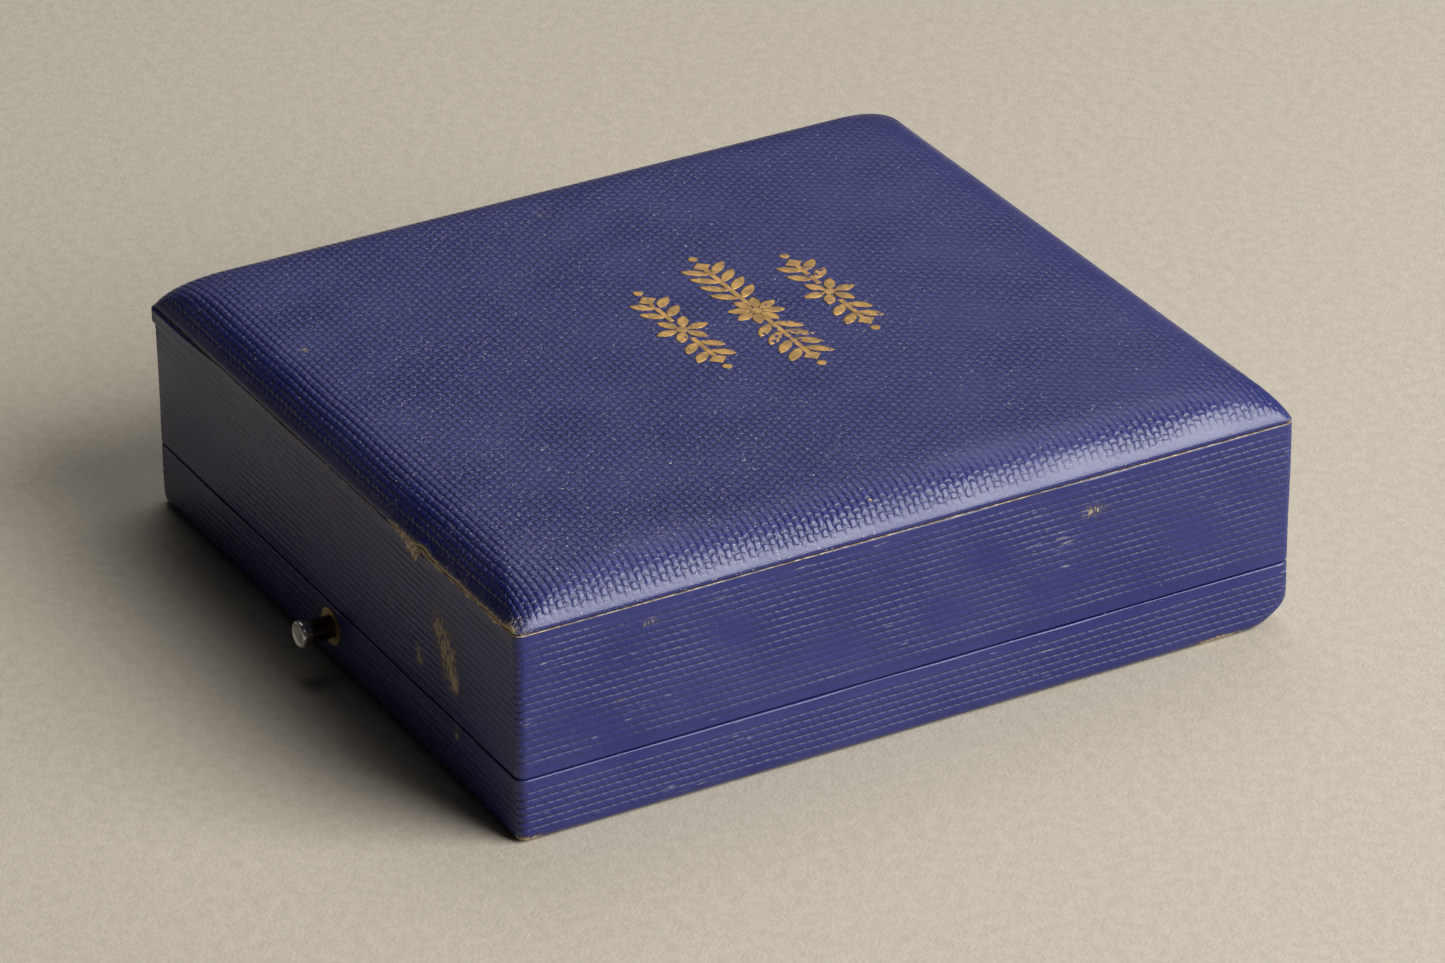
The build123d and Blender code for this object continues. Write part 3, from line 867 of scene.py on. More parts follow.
    def build(self, finish: bpy.types.Material) -> bpy.types.Object:
        """Build the sheet with its ribs, its dents and its torn edge.

        Args:
            finish: The ribbed cloth.

        Returns:
            The piece.
        """
        span_x = self.half_length(self.half[0])
        span_y = self.half_length(self.half[1])
        ribs = round(2 * span_y / RIB_PITCH)
        phase = np.arange(ribs * ROWS_PER_RIB + 1)[:, None] / ROWS_PER_RIB
        across = self.columns_along(span_x)
        s = np.broadcast_to(across[None, :], (len(phase), len(across)))
        t = np.broadcast_to(-span_y + phase * 2 * span_y / ribs, s.shape)
        edge = np.minimum(span_x - np.abs(s), span_y - np.abs(t))
        waver = 0.06 * drift(s, t, 17 * MM, 1) + 0.02 * drift(s, t, 3 * MM, 2)
        wavered = t + waver * MM * smooth(edge, 0, 3 * MM)
        x, y = self.rounded(self.plan(self.half[0], s), self.plan(self.half[1], wavered))
        points = np.stack([x, y, self.height(x, y)], -1)
        front = span_y + t
        points[..., 2] += self.lift(x) * (1 - smooth(front, 0.2 * MM, 1.4 * MM))
        swell = 0.006 * MM * drift(s, t, 26 * MM, 3) * smooth(edge, 0, 8 * MM)
        points[..., 2] += swell - MM * rubbed(points, self.dents)
        normals = np.cross(np.gradient(points, axis=1), np.gradient(points, axis=0))
        normals /= np.linalg.norm(normals, axis=-1, keepdims=True)
        flattened = 0.8 + 0.12 * drift(s, t, 9 * MM, 4) - 0.3 * smooth(y, -15 * MM, 30 * MM)
        strength = np.clip(flattened, 0.35, 1.0) * smooth(edge, 0.45 * self.crushed, self.crushed * 1.3)
        points += normals * (RIB_RELIEF * strength * (ridge(phase) - 0.5))[..., None]
        step = self.coarser
        lining = points[::step, ::step] - normals[::step, ::step] * (CLOTH_THICKNESS - 0.05 * MM)
        faces = self.faces(points.shape[:2], lining.shape[:2])
        everything = np.concatenate([points.reshape(-1, 3), lining.reshape(-1, 3)])
        piece = new_piece("lid_top_cloth", everything, faces, finish)
        self.store(piece.data, points, s / DASH_LENGTH, phase, strength, edge, lining.size // 3)
        place(piece, Body.LID, Slot.LEATHERETTE, ["lid_top_covering"])
        return piece

    def faces(self, outer: tuple[int, int], inner: tuple[int, int]) -> list:
        """List the faces of the upper side, the under side and the cut edge between them."""
        rows, cols = outer
        start = rows * cols
        upper = np.arange(start).reshape(outer)
        lower = np.arange(inner[0] * inner[1]).reshape(inner) + start
        faces = grid_faces(rows, cols, False, False).tolist()
        faces += grid_faces(*inner, False, False, start)[:, ::-1].tolist()
        for top, below, ascending in (
            (upper[0], lower[0], False),
            (upper[:, -1], lower[:, -1], False),
            (upper[-1], lower[-1], True),
            (upper[:, 0], lower[:, 0], True),
        ):
            for k in range(len(below) - 1):
                strip = top[self.coarser * k:self.coarser * (k + 1) + 1].tolist()
                pair = [below[k], below[k + 1]]
                faces.append(strip + pair[::-1] if ascending else strip[::-1] + pair)
        return faces

    def store(
        self, mesh: bpy.types.Mesh, points: Array, along: Array, phase: Array, strength: Array,
        edge: Array, spare: int
    ) -> None:
        """Store the lay of the ribs, the wear and the dust on the mesh.

        Args:
            mesh: The sheet's mesh.
            points: The upper side's points.
            along: The place along the ribs, counted in pads.
            phase: The place across the ribs, counted in ribs.
            strength: How much of the emboss is left.
            edge: The distance to the seam over the crown.
            spare: How many points the under side has.
        """
        lay = np.stack([along, np.broadcast_to(phase, along.shape), strength], -1).reshape(-1, 3)
        wear = rubbed(points, self.rubs) + 0.3 * np.exp(-edge / (0.25 * MM))
        x, y = points[..., 0], points[..., 1]
        tear = np.exp(-(y + self.half[1]) / (0.3 * MM)) * (x > TEAR_START)
        wear += 0.5 * np.clip(tear, 0, 1)
        near = np.hypot(x - self.half[0], y + self.half[1])
        dust = 0.25 + 0.75 * np.exp(-((near / (34 * MM)) ** 2)) + 0.15 * drift(x, y, 20 * MM, 8)
        paint(mesh, "lay", np.concatenate([lay, np.zeros((spare, 3))]))
        paint(mesh, "cut", np.full(edge.size + spare, 1.0))
        paint(mesh, "flat", np.full(edge.size + spare, 1.0))
        paint(mesh, "wear", np.concatenate([wear.ravel(), np.zeros(spare)]))
        paint(mesh, "dust", np.concatenate([dust.ravel(), np.zeros(spare)]))


@dataclass
class GiltDevice:
    """The stamped leafy device, laid over the lid's ribs."""

    cell: float = 0.24 * MM
    stand: float = 0.014 * MM
    thickness: float = 0.02 * MM
    boldness: float = 1.32
    rounds: int = 6

    def islands(self, shape: bmesh.types.BMesh) -> list[list[bmesh.types.BMVert]]:
        """Sort the outline's points into its separate leaves and petals."""
        waiting, found = set(shape.verts), []
        while waiting:
            island, edge = [], [waiting.pop()]
            while edge:
                vert = edge.pop()
                island.append(vert)
                near = {line.other_vert(vert) for line in vert.link_edges} & waiting
                waiting -= near
                edge.extend(near)
            found.append(island)
        return found

    def build(self, top: bpy.types.Object, finish: bpy.types.Material) -> bpy.types.Object:
        """Lay the device's outline on the lid's ribbed surface.

        Args:
            top: The lid's top sheet.
            finish: The worn gilt.

        Returns:
            The piece.
        """
        shape = bmesh.new()
        shape.from_mesh(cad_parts["gilt_ornament"].data)
        hidden = [face for face in shape.faces if face.normal.z < 0.9]
        bmesh.ops.delete(shape, geom=hidden, context="FACES")
        bmesh.ops.remove_doubles(shape, verts=shape.verts, dist=0.001 * MM)
        for island in self.islands(shape):
            middle = sum((vert.co for vert in island), Vector()) / len(island)
            for vert in island:
                vert.co = middle + (vert.co - middle) * self.boldness
        self.divide(shape)
        ground = BVHTree.FromObject(top, bpy.context.evaluated_depsgraph_get())
        relief = []
        for vert in shape.verts:
            hit = ground.ray_cast(vert.co + Vector((0, 0, MM)), Vector((0, 0, -1)))[0]
            level = hit.z if hit is not None else vert.co.z
            relief.append(level)
            vert.co.z = level + self.stand
        mesh = bpy.data.meshes.new("gilt_device")
        shape.to_mesh(mesh)
        shape.free()
        levels = np.array(relief)
        paint(mesh, "relief", np.clip((levels - np.median(levels)) / RIB_RELIEF + 0.5, 0, 1))
        dress(mesh, finish)
        piece = in_scene("gilt_device", mesh)
        foil = piece.modifiers.new("foil", "SOLIDIFY")
        foil.thickness = self.thickness
        foil.offset = 1.0
        place(piece, Body.LID, Slot.GILT, ["gilt_ornament"])
        return piece

    def divide(self, shape: bmesh.types.BMesh) -> None:
        """Cut the outline's faces until every edge is short enough to follow the ribs."""
        for _ in range(self.rounds):
            bmesh.ops.triangulate(shape, faces=shape.faces[:])
            long = [edge for edge in shape.edges if edge.calc_length() > self.cell]
            if not long:
                return
            bmesh.ops.subdivide_edges(shape, edges=long, cuts=1)


# ---- walls ---------------------------------------------------------------------------
@dataclass
class Outline:
    """A rounded rectangle seen from above, cut into columns that can be drawn in by any distance."""

    half_x: float
    half_y: float
    corner: float
    spacing: float
    breaks: Sequence[float] = ()
    corner_steps: int = 7
    least_corner: float = 0.15 * MM
    squeeze_from: float = 8.3 * MM

    def __post_init__(self) -> None:
        """Lay out the columns anticlockwise from the front left corner."""
        ends = (self.half_x - self.corner, self.half_y - self.corner)
        runs = ((Side.FRONT, 1, 0), (Side.RIGHT, 1, 1), (Side.REAR, -1, 0), (Side.LEFT, -1, 1))
        sides, along, angle, quadrant = [], [], [], []
        for number, (side, way, axis) in enumerate(runs):
            places = self.places(ends[axis], self.breaks if side is Side.REAR else ()) * way
            sides += [side.value] * len(places)
            along += places.tolist()
            angle += [0.0] * len(places)
            quadrant += [number] * len(places)
            turns = np.linspace(0, np.pi / 2, self.corner_steps + 1)[1:-1] + (number - 1) * np.pi / 2
            sides += [Side.CORNER.value] * len(turns)
            along += [0.0] * len(turns)
            angle += turns.tolist()
            quadrant += [number] * len(turns)
        self.sides, self.along = np.array(sides), np.array(along)
        self.angle, self.quadrant = np.array(angle), np.array(quadrant)
        x, y = self.draw_in(np.zeros(len(sides)))
        self.x, self.y = x, y
        steps = np.hypot(np.diff(x, append=x[0]), np.diff(y, append=y[0]))
        self.length = np.concatenate([[0], np.cumsum(steps)])

    def places(self, end: float, breaks: Sequence[float]) -> Array:
        """Space columns along one side, with a close pair at each break."""
        step = 0.02 * MM
        count = max(2, round(2 * end / self.spacing))
        regular = np.linspace(-end, end, count + 1)
        for at in breaks:
            regular = regular[np.abs(regular - at) > self.spacing / 2]
        extra = [at + way * step for at in breaks for way in (-1, 1)]
        return np.sort(np.concatenate([regular, extra]))

    def squeeze(self, along: Array, full: float, end: Array) -> Array:
        """Move the columns near a side's ends so that the last one lands on a new end."""
        hold = full - self.squeeze_from
        past = np.clip(np.abs(along) - hold, 0, None)
        return np.sign(along) * (np.minimum(np.abs(along), hold) + past * (end - hold) / (full - hold))

    def draw_in(self, inward: Array) -> tuple[Array, Array]:
        """Give each column's place in plan when it is drawn in.

        Args:
            inward: How far each column is drawn in from the outline.

        Returns:
            The columns' x and y.
        """
        radius = np.maximum(self.corner - inward, self.least_corner)
        end_x = self.half_x - inward - radius
        end_y = self.half_y - inward - radius
        sign_x = np.where((self.quadrant == 0) | (self.quadrant == 1), 1, -1)
        sign_y = np.where((self.quadrant == 1) | (self.quadrant == 2), 1, -1)
        x = sign_x * end_x + radius * np.cos(self.angle)
        y = sign_y * end_y + radius * np.sin(self.angle)
        for side, way in ((Side.FRONT, -1), (Side.REAR, 1)):
            here = self.sides == side.value
            x = np.where(here, self.squeeze(self.along, self.half_x - self.corner, end_x), x)
            y = np.where(here, way * (self.half_y - inward), y)
        for side, way in ((Side.RIGHT, 1), (Side.LEFT, -1)):
            here = self.sides == side.value
            y = np.where(here, self.squeeze(self.along, self.half_y - self.corner, end_y), y)
            x = np.where(here, way * (self.half_x - inward), x)
        return x, y

    def solid(self, inward: Array, height: Array) -> Array:
        """Turn rows of inward distances and heights into points."""
        rows = [np.stack([*self.draw_in(d), z], -1) for d, z in zip(inward, height)]
        return np.stack(rows)

    def within(self, side: Side, half: float) -> Array:
        """Tell which columns of a side lie within a distance of its middle."""
        return (self.sides == side.value) & (np.abs(self.along) <= half)


@dataclass
class SideCloth:
    """One wall covering as a closed band: ribbed outside, turned in over the rim."""

    name: str
    node: str
    body: Body
    corner: float = 1.0 * MM
    spacing: float = 0.43 * MM
    settle: float = 2.4 * MM
    rim_radius: float = 0.17 * MM
    turn_in: float = 0.2 * MM
    turn_in_reach: float = 3.75 * MM
    hinge_half: float = 31.0 * MM
    hinge_cut: float = 1.1 * MM
    rows_in_arc: int = 4
    front_emboss: float = 0.55
    cut: float = 0.4
    dust: float = 0.22

    def __post_init__(self) -> None:
        """Read the wall's size and lay out its columns."""
        self.low, self.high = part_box(self.node)
        breaks = (-self.hinge_half, self.hinge_half)
        self.outline = Outline(self.high.x, self.high.y, self.corner, self.spacing, breaks)
        self.at_hinge = self.outline.within(Side.REAR, self.hinge_half)
        self.flat = np.ones(len(self.outline.x))

    def emboss(self) -> Array:
        """Give how much of the emboss each column keeps; the front is the most handled."""
        return np.where(self.outline.sides == Side.FRONT.value, self.front_emboss, 1.0)

    def rim_arc(self) -> list[tuple[float, float]]:
        """Give the rim's rounding as inward distance and drop from the rim, outside first."""
        turns = np.linspace(0, np.pi / 2, self.rows_in_arc + 1)
        radius = self.rim_radius
        return [(radius * (1 - math.cos(t)), radius * (1 - math.sin(t))) for t in turns]

    def band(
        self, rows: list, phase: Array, strength: Array, finish: bpy.types.Material
    ) -> bpy.types.Object:
        """Build the band from its rows.

        Args:
            rows: Each row's inward distances and heights.
            phase: Each row's place across the ribs, counted in ribs.
            strength: How much emboss each point has.
            finish: The ribbed cloth.

        Returns:
            The piece.
        """
        inward = np.array([np.broadcast_to(row[0], self.flat.shape) for row in rows])
        height = np.array([np.broadcast_to(row[1], self.flat.shape) for row in rows])
        u = self.outline.length[:-1][None, :]
        outer = (inward < 0.02 * MM) | (strength > 0)
        waver = drift(u, height, 11 * MM, 5) * 0.6 + drift(u, height, 2.4 * MM, 6) * 0.5
        height = height + np.where(strength > 0.2, waver * 0.03 * MM, 0)
        uneven = 0.035 * MM * drift(u, height, 16 * MM, 7) + self.bulge(height)
        emboss = RIB_RELIEF * strength * (ridge(phase) - 0.5)
        inward = inward - np.where(outer, uneven + emboss, 0)
        points = self.shaped(self.outline.solid(inward, height))
        piece = new_piece(self.name, points, grid_faces(*inward.shape, True, True), finish)
        self.store(piece.data, points, phase, strength)
        place(piece, self.body, Slot.LEATHERETTE, [self.node])
        return piece

    def bulge(self, height: Array) -> Array:
        """Give how far the cloth stands off the wall; the plain band has no bulge."""
        return 0 * height

    def shaped(self, points: Array) -> Array:
        """Change the finished band's points; the plain band is left as it is."""
        return points

    def leaned(self, points: Array, level: float, way: int) -> Array:
        """Lean the rim away behind the hinge's axis, so that the open lid has room.

        Args:
            points: The band's points.
            level: The rim's height.
            way: 1 for a lower rim, -1 for an upper one.

        Returns:
            The changed points.
        """
        x, y, z = np.moveaxis(points, -1, 0)
        off = np.clip((y - HINGE_Y) * math.tan(REAR_BEVEL) - HALF_GAP, 0, None)
        near = 1 - smooth(way * (z - level), 0, self.settle)
        shift = way * off * near * (np.abs(x) > self.hinge_half)
        return points + np.stack([0 * x, 0 * x, shift], -1)

    def rubs(self) -> Sequence[Rub]:
        """List the band's rubbed spots."""
        return ()

    def store(self, mesh: bpy.types.Mesh, points: Array, phase: Array, strength: Array) -> None:
        """Store the lay of the ribs at each face corner, and the wear and dust at each point."""
        rows, cols = phase.shape
        pads = round(self.outline.length[-1] / DASH_LENGTH)
        along = self.outline.length / self.outline.length[-1] * pads
        i, j = np.meshgrid(np.arange(rows), np.arange(cols), indexing="ij")
        corners = []
        for a, b in ((i, j), (i, j + 1), (i + 1, j + 1), (i + 1, j)):
            a, c = a % rows, b % cols
            corners.append(np.stack([along[b], phase[a, c], strength[a, c]], -1))
        paint(mesh, "lay", np.stack(corners, 2).reshape(-1, 3), "CORNER")
        edges = 0.1 * np.broadcast_to(self.outline.sides == Side.CORNER.value, phase.shape)
        wear = edges + rubbed(points, self.rubs()) + 0.12 * (strength <= 0)
        paint(mesh, "wear", wear.ravel())
        paint(mesh, "cut", np.full(phase.size, self.cut))
        paint(mesh, "dust", np.full(phase.size, self.dust))


@dataclass
class LidSide(SideCloth):
    """The cloth round the lid's walls."""

    seam_drop: float = 0.14 * MM

    def bulge(self, height: Array) -> Array:
        """Let the cloth stand off the wall under the seam at the front left."""
        x, y = self.outline.x[None, :], self.outline.y[None, :]
        loose = smooth(-x, 22 * MM, 38 * MM) * smooth(-y, 25 * MM, 43 * MM)
        return 0.32 * MM * loose * smooth(height, 20.9 * MM, 21.5 * MM)

    def rubs(self) -> Sequence[Rub]:
        """List the rubbed spots on the front and right walls."""
        return (
            Rub((26.0, -44.0, 13.8), (3.0, 1.5, 4.6), 0.6),
            Rub((23.6, -44.0, 16.8), (1.4, 1.5, 1.8), 0.4),
            Rub((27.3, -44.0, 11.3), (0.9, 1.5, 1.4), 0.4),
            Rub((19.8, -44.0, 11.1), (1.3, 1.5, 2.0), 0.52),
            Rub((0.7, -44.0, 19.3), (0.6, 1.5, 0.6), 0.6),
            Rub((3.8, -44.0, 15.7), (0.6, 1.5, 0.7), 0.5),
            Rub((13.5, -44.0, 14.2), (1.0, 1.5, 1.0), 0.48),
            Rub((40.25, 20.5, 19.3), (1.5, 1.5, 0.9), 0.55),
            Rub((40.25, -29.5, 20.7), (1.5, 1.1, 0.5), 0.5),
            Rub((40.25, -32.9, 13.1), (1.5, 0.8, 0.3), 0.5),
        )

    def shaped(self, points: Array) -> Array:
        """Lean the lower rim away at the rear."""
        return self.leaned(points, self.low.z, 1)

    def build(self, finish: bpy.types.Material) -> bpy.types.Object:
        """Build the band from its rim to its seam.

        Args:
            finish: The ribbed cloth.

        Returns:
            The piece.
        """
        rim = self.low.z + np.where(self.at_hinge, self.hinge_cut - HALF_GAP, 0)
        reach = np.where(self.at_hinge, CLOTH_THICKNESS + 0.02 * MM, self.turn_in_reach)
        top = self.high.z - self.seam_drop
        rows, ribs = [], []
        full = (self.low.z + 0.5 * MM, self.low.z + 1.5 * MM)
        levels = np.arange(self.low.z + self.rim_radius, top - 0.12 * MM, RIB_PITCH / ROWS_PER_RIB)
        for level in levels:
            up = level - self.low.z
            cut = np.where(self.at_hinge, (rim - self.low.z) * min(1.0, up / self.settle), 0)
            rows.append((0 * rim, rim + up - cut))
            ribs.append(plateau(level, full, (top - 1.2 * MM, top - 0.5 * MM)))
        closing = [(0.02, -0.08), (0.08, -0.02), (0.2, 0.0), (0.35, 0.0)]
        rows += [(d * MM, top + z * MM) for d, z in closing]
        inside = rim + self.turn_in
        rows += [(CLOTH_THICKNESS, inside + 0.3 * MM), (CLOTH_THICKNESS, inside)]
        rows += [(reach, inside), (reach, rim)]
        rows += [(reach * share, rim) for share in (0.7, 0.4)]
        rows += [(d, rim + z) for d, z in reversed(self.rim_arc()[1:])]
        phase = np.zeros((len(rows), len(self.flat)))
        heights = np.array([np.broadcast_to(row[1], self.flat.shape) for row in rows[:len(levels)]])
        phase[:len(levels)] = (heights - levels[0]) / RIB_PITCH
        strength = np.zeros(phase.shape)
        worn = 0.8 + 0.2 * drift(self.outline.length[:-1][None, :], heights, 8 * MM, 12)
        strength[:len(levels)] = np.array(ribs)[:, None] * np.clip(worn, 0.45, 1.0) * self.emboss()
        return self.band(rows, phase, strength, finish)


@dataclass
class BaseSide(SideCloth):
    """The cloth round the base's walls, turned in over the rim and under the bottom."""

    foot_radius: float = 0.7 * MM
    underside_reach: float = 7.9 * MM
    plate_half: float = 7.5 * MM
    plate_reach: float = 1.6 * MM
    bush_radius: float = 1.72 * MM
    bush_height: float = 4.6 * MM
    bush_sides: int = 48
    bush_span: tuple[float, float] = (-45 * MM, -43.2 * MM)
    worn_corners: Sequence[tuple[tuple[int, int], float, float]] = (
        ((1, 1), 3.6, 2.6), ((-1, -1), 1.3, 1.3), ((1, -1), 0.9, 0.9), ((-1, 1), 1.0, 1.0)
    )
    lip: float = 0.95 * MM
    lip_stand: float = 0.07 * MM

    def rubs(self) -> Sequence[Rub]:
        """List the rubbed spots along the foot and on the front."""
        return (
            Rub((40.2, 35.5, 0.3), (1.2, 3.4, 0.5), 0.75),
            Rub((39.7, -42.6, 0.3), (1.4, 1.6, 0.55), 0.8),
            Rub((40.2, 18.0, 0.3), (1.2, 2.0, 0.3), 0.5),
            Rub((27.2, -44.0, 5.8), (0.8, 1.5, 0.9), 0.62),
            Rub((40.25, 38.0, 5.4), (1.2, 0.6, 0.3), 0.45),
            Rub((-39.6, -43.4, 0.4), (1.5, 1.5, 0.8), 0.6),
        )

    def shaped(self, points: Array) -> Array:
        """Lean the upper rim away at the rear and press in the worn corners of the foot."""
        points = self.leaned(points, self.high.z, -1)
        corner = Vector((self.high.x, self.high.y, self.low.z))
        for signs, reach, rise in self.worn_corners:
            at = np.array([corner.x * signs[0], corner.y * signs[1], corner.z])
            way = np.array([signs[0] / reach, signs[1] / reach, -1 / rise])
            way /= np.linalg.norm(way)
            foot = at - np.array([signs[0] * reach * MM, 0, 0])
            out = (points - foot) @ way
            soft = 0.14 * MM * rise
            pressed = -soft * np.log1p(np.exp(np.clip(-out / soft, -60, 60)))
            near = np.linalg.norm(points - at, axis=-1) < 2.2 * max(reach, rise) * MM
            points = points + np.where(near, pressed - out, 0)[..., None] * way
        return points

    def build(self, finish: bpy.types.Material) -> bpy.types.Object:
        """Build the band from its foot to its rim, and bore it for the button's bush.

        Args:
            finish: The ribbed cloth.

        Returns:
            The piece.
        """
        at_plate = self.outline.within(Side.FRONT, self.plate_half)
        drop = np.where(self.at_hinge, self.hinge_cut - HALF_GAP, 0)
        rim = self.high.z - drop
        reach = np.where(at_plate, self.plate_reach, self.turn_in_reach)
        reach = np.where(self.at_hinge, CLOTH_THICKNESS + 0.02 * MM, reach)
        start, end = self.low.z + self.foot_radius, self.high.z - self.rim_radius
        levels = np.linspace(start, end, round((end - start) / RIB_PITCH * ROWS_PER_RIB) + 1)
        rows, ribs = [], []
        for level in levels:
            share = max(0.0, (level - end + self.settle) / self.settle)
            rows.append((0 * rim, level - drop * share))
            ribs.append(plateau(level, (start, start + 0.5 * MM), (end - 1.3 * MM, end - 0.5 * MM)))
        rows += [(d, rim - z) for d, z in self.rim_arc()[1:]]
        rows += [(reach * share, rim) for share in (0.4, 0.7, 1.0)]
        inner = rim - self.turn_in
        under = self.low.z + self.turn_in
        lip = rim - np.where(self.at_hinge | at_plate, self.turn_in + 0.02 * MM, self.lip)
        fold, back = reach + self.lip_stand, reach - 0.01 * MM
        rows += [(fold, rim - 0.04 * MM), (fold, lip), (back, lip), (back, inner)]
        rows += [(CLOTH_THICKNESS, inner), (CLOTH_THICKNESS, inner - 0.3 * MM)]
        rows += [(CLOTH_THICKNESS, under + 0.0 * rim), (self.underside_reach, under + 0.0 * rim)]
        rows += [(self.underside_reach, self.low.z + 0.0 * rim)]
        rows += [(self.underside_reach * share, self.low.z + 0.0 * rim) for share in (0.6, 0.3)]
        foot = self.foot_radius
        for turn in np.linspace(0, np.pi / 2, 6)[:-1]:
            rows.append((foot * (1 - math.sin(turn)), start - foot * math.cos(turn)))
        phase = np.zeros((len(rows), len(self.flat)))
        heights = np.array([row[1] for row in rows[:len(levels)]])
        phase[:len(levels)] = (heights - start) / RIB_PITCH
        strength = np.zeros(phase.shape)
        strength[:len(levels)] = np.array(ribs)[:, None] * self.emboss()
        piece = self.band(rows, phase, strength, finish)
        self.bore(piece)
        return piece

    def bore(self, piece: bpy.types.Object) -> None:
        """Cut the round hole for the button's bush through the front."""
        turns = np.arange(self.bush_sides) * 2 * np.pi / self.bush_sides
        ring = np.stack([np.cos(turns), np.sin(turns)], -1) * self.bush_radius
        points = [(x, y, z + self.bush_height) for y in self.bush_span for x, z in ring]
        faces = tube_faces(2, self.bush_sides)
        cutter = new_piece("bush_cutter", np.array(points), faces, piece.data.materials[0])
        shape = bmesh.new()
        shape.from_mesh(cutter.data)
        bmesh.ops.recalc_face_normals(shape, faces=shape.faces)
        shape.to_mesh(cutter.data)
        shape.free()
        cut = piece.modifiers.new("bush_hole", "BOOLEAN")
        cut.operation = "DIFFERENCE"
        cut.solver = "EXACT"
        cut.object = cutter
        bored = settled(piece)
        piece.modifiers.clear()
        piece.data = bored
        bpy.data.objects.remove(cutter)


@dataclass
class SeamEdge:
    """The pale cut edge of the cloth that shows along the seam, ragged at the front tear."""

    spacing: float = 0.24 * MM
    sides: int = 8
    flap_grid: tuple[int, int] = (12, 44)
    flap_thickness: float = 0.13 * MM

    def build(self, top: LidTop, finish: bpy.types.Material) -> list[bpy.types.Object]:
        """Build the edge all round and the lifted flap at the tear.

        Args:
            top: The lid's top sheet, whose torn edge it follows.
            finish: The torn core.

        Returns:
            The pieces.
        """
        outline = Outline(top.half[0], top.half[1], top.corner, self.spacing)
        u, x = outline.length[:-1], outline.x
        fine = wander(u, 1.3 * MM, 21) * 0.5 + wander(u, 0.5 * MM, 22) * 0.5
        patch = smooth(wander(u, 9 * MM, 23), -0.9, 0.5)
        thin = (0.012 + 0.04 * patch * np.clip(0.5 + 0.6 * fine, 0, 1.2)) * MM
        torn = (outline.sides == Side.FRONT.value) * smooth(x, TEAR_START, TEAR_FULL)
        lump = np.clip(0.08 + 0.09 * fine + 0.1 * wander(u, 2.6 * MM, 24), 0.02, 0.3) * MM
        half_high = thin + torn * (lump * 0.6 + top.lift(x) * 0.45)
        middle = top.seam - 0.15 * MM + torn * (top.lift(x) * 0.5 - 0.02 * MM)
        stand = (0.015 + 0.02 * patch) * MM + torn * lump * 0.5
        rows = []
        for n in range(self.sides):
            turn = 2 * np.pi * n / self.sides
            out = stand * max(0.0, math.cos(turn)) + 0.16 * MM * min(0.0, math.cos(turn))
            rows.append((-out, middle + half_high * math.sin(turn)))
        faces = grid_faces(self.sides, len(u), True, True)
        edge = new_piece("seam_cut_edge", outline.solid(*zip(*rows)), faces, finish)
        place(edge, Body.LID, Slot.CARD)
        return [edge, self.flap(top, finish)]

    def flap(self, top: LidTop, finish: bpy.types.Material) -> bpy.types.Object:
        """Build the torn flap that stands out from the front seam."""
        rows, cols = self.flap_grid
        a = np.linspace(0, 1, cols)[None, :]
        b = np.linspace(0, 1, rows)[:, None]
        x = (14.8 + 6.1 * a + 0 * b) * MM
        ragged = 0.9 + 0.16 * wander(x, 1.1 * MM, 41)
        reach = np.clip(a**0.75 * (1 - smooth(a, 0.88, 1.0)) * ragged, 0.03, 1.2)
        out = 0.75 * b * reach
        hang = 0.5 * b * reach + 0.75 * (b * reach) ** 2
        y = -top.half[1] + (0.12 - out) * MM
        z = top.seam + (0.05 - hang + 0.05 * drift(x, y, 1.2 * MM, 42)) * MM
        x = x + 0.25 * MM * b * drift(x, y, 1.6 * MM, 43)
        points = np.stack(np.broadcast_arrays(x, y, z), -1)
        piece = new_piece("torn_flap", points, grid_faces(rows, cols, False, False), finish)
        body = piece.modifiers.new("thickness", "SOLIDIFY")
        body.thickness = self.flap_thickness
        place(piece, Body.LID, Slot.CARD)
        return piece


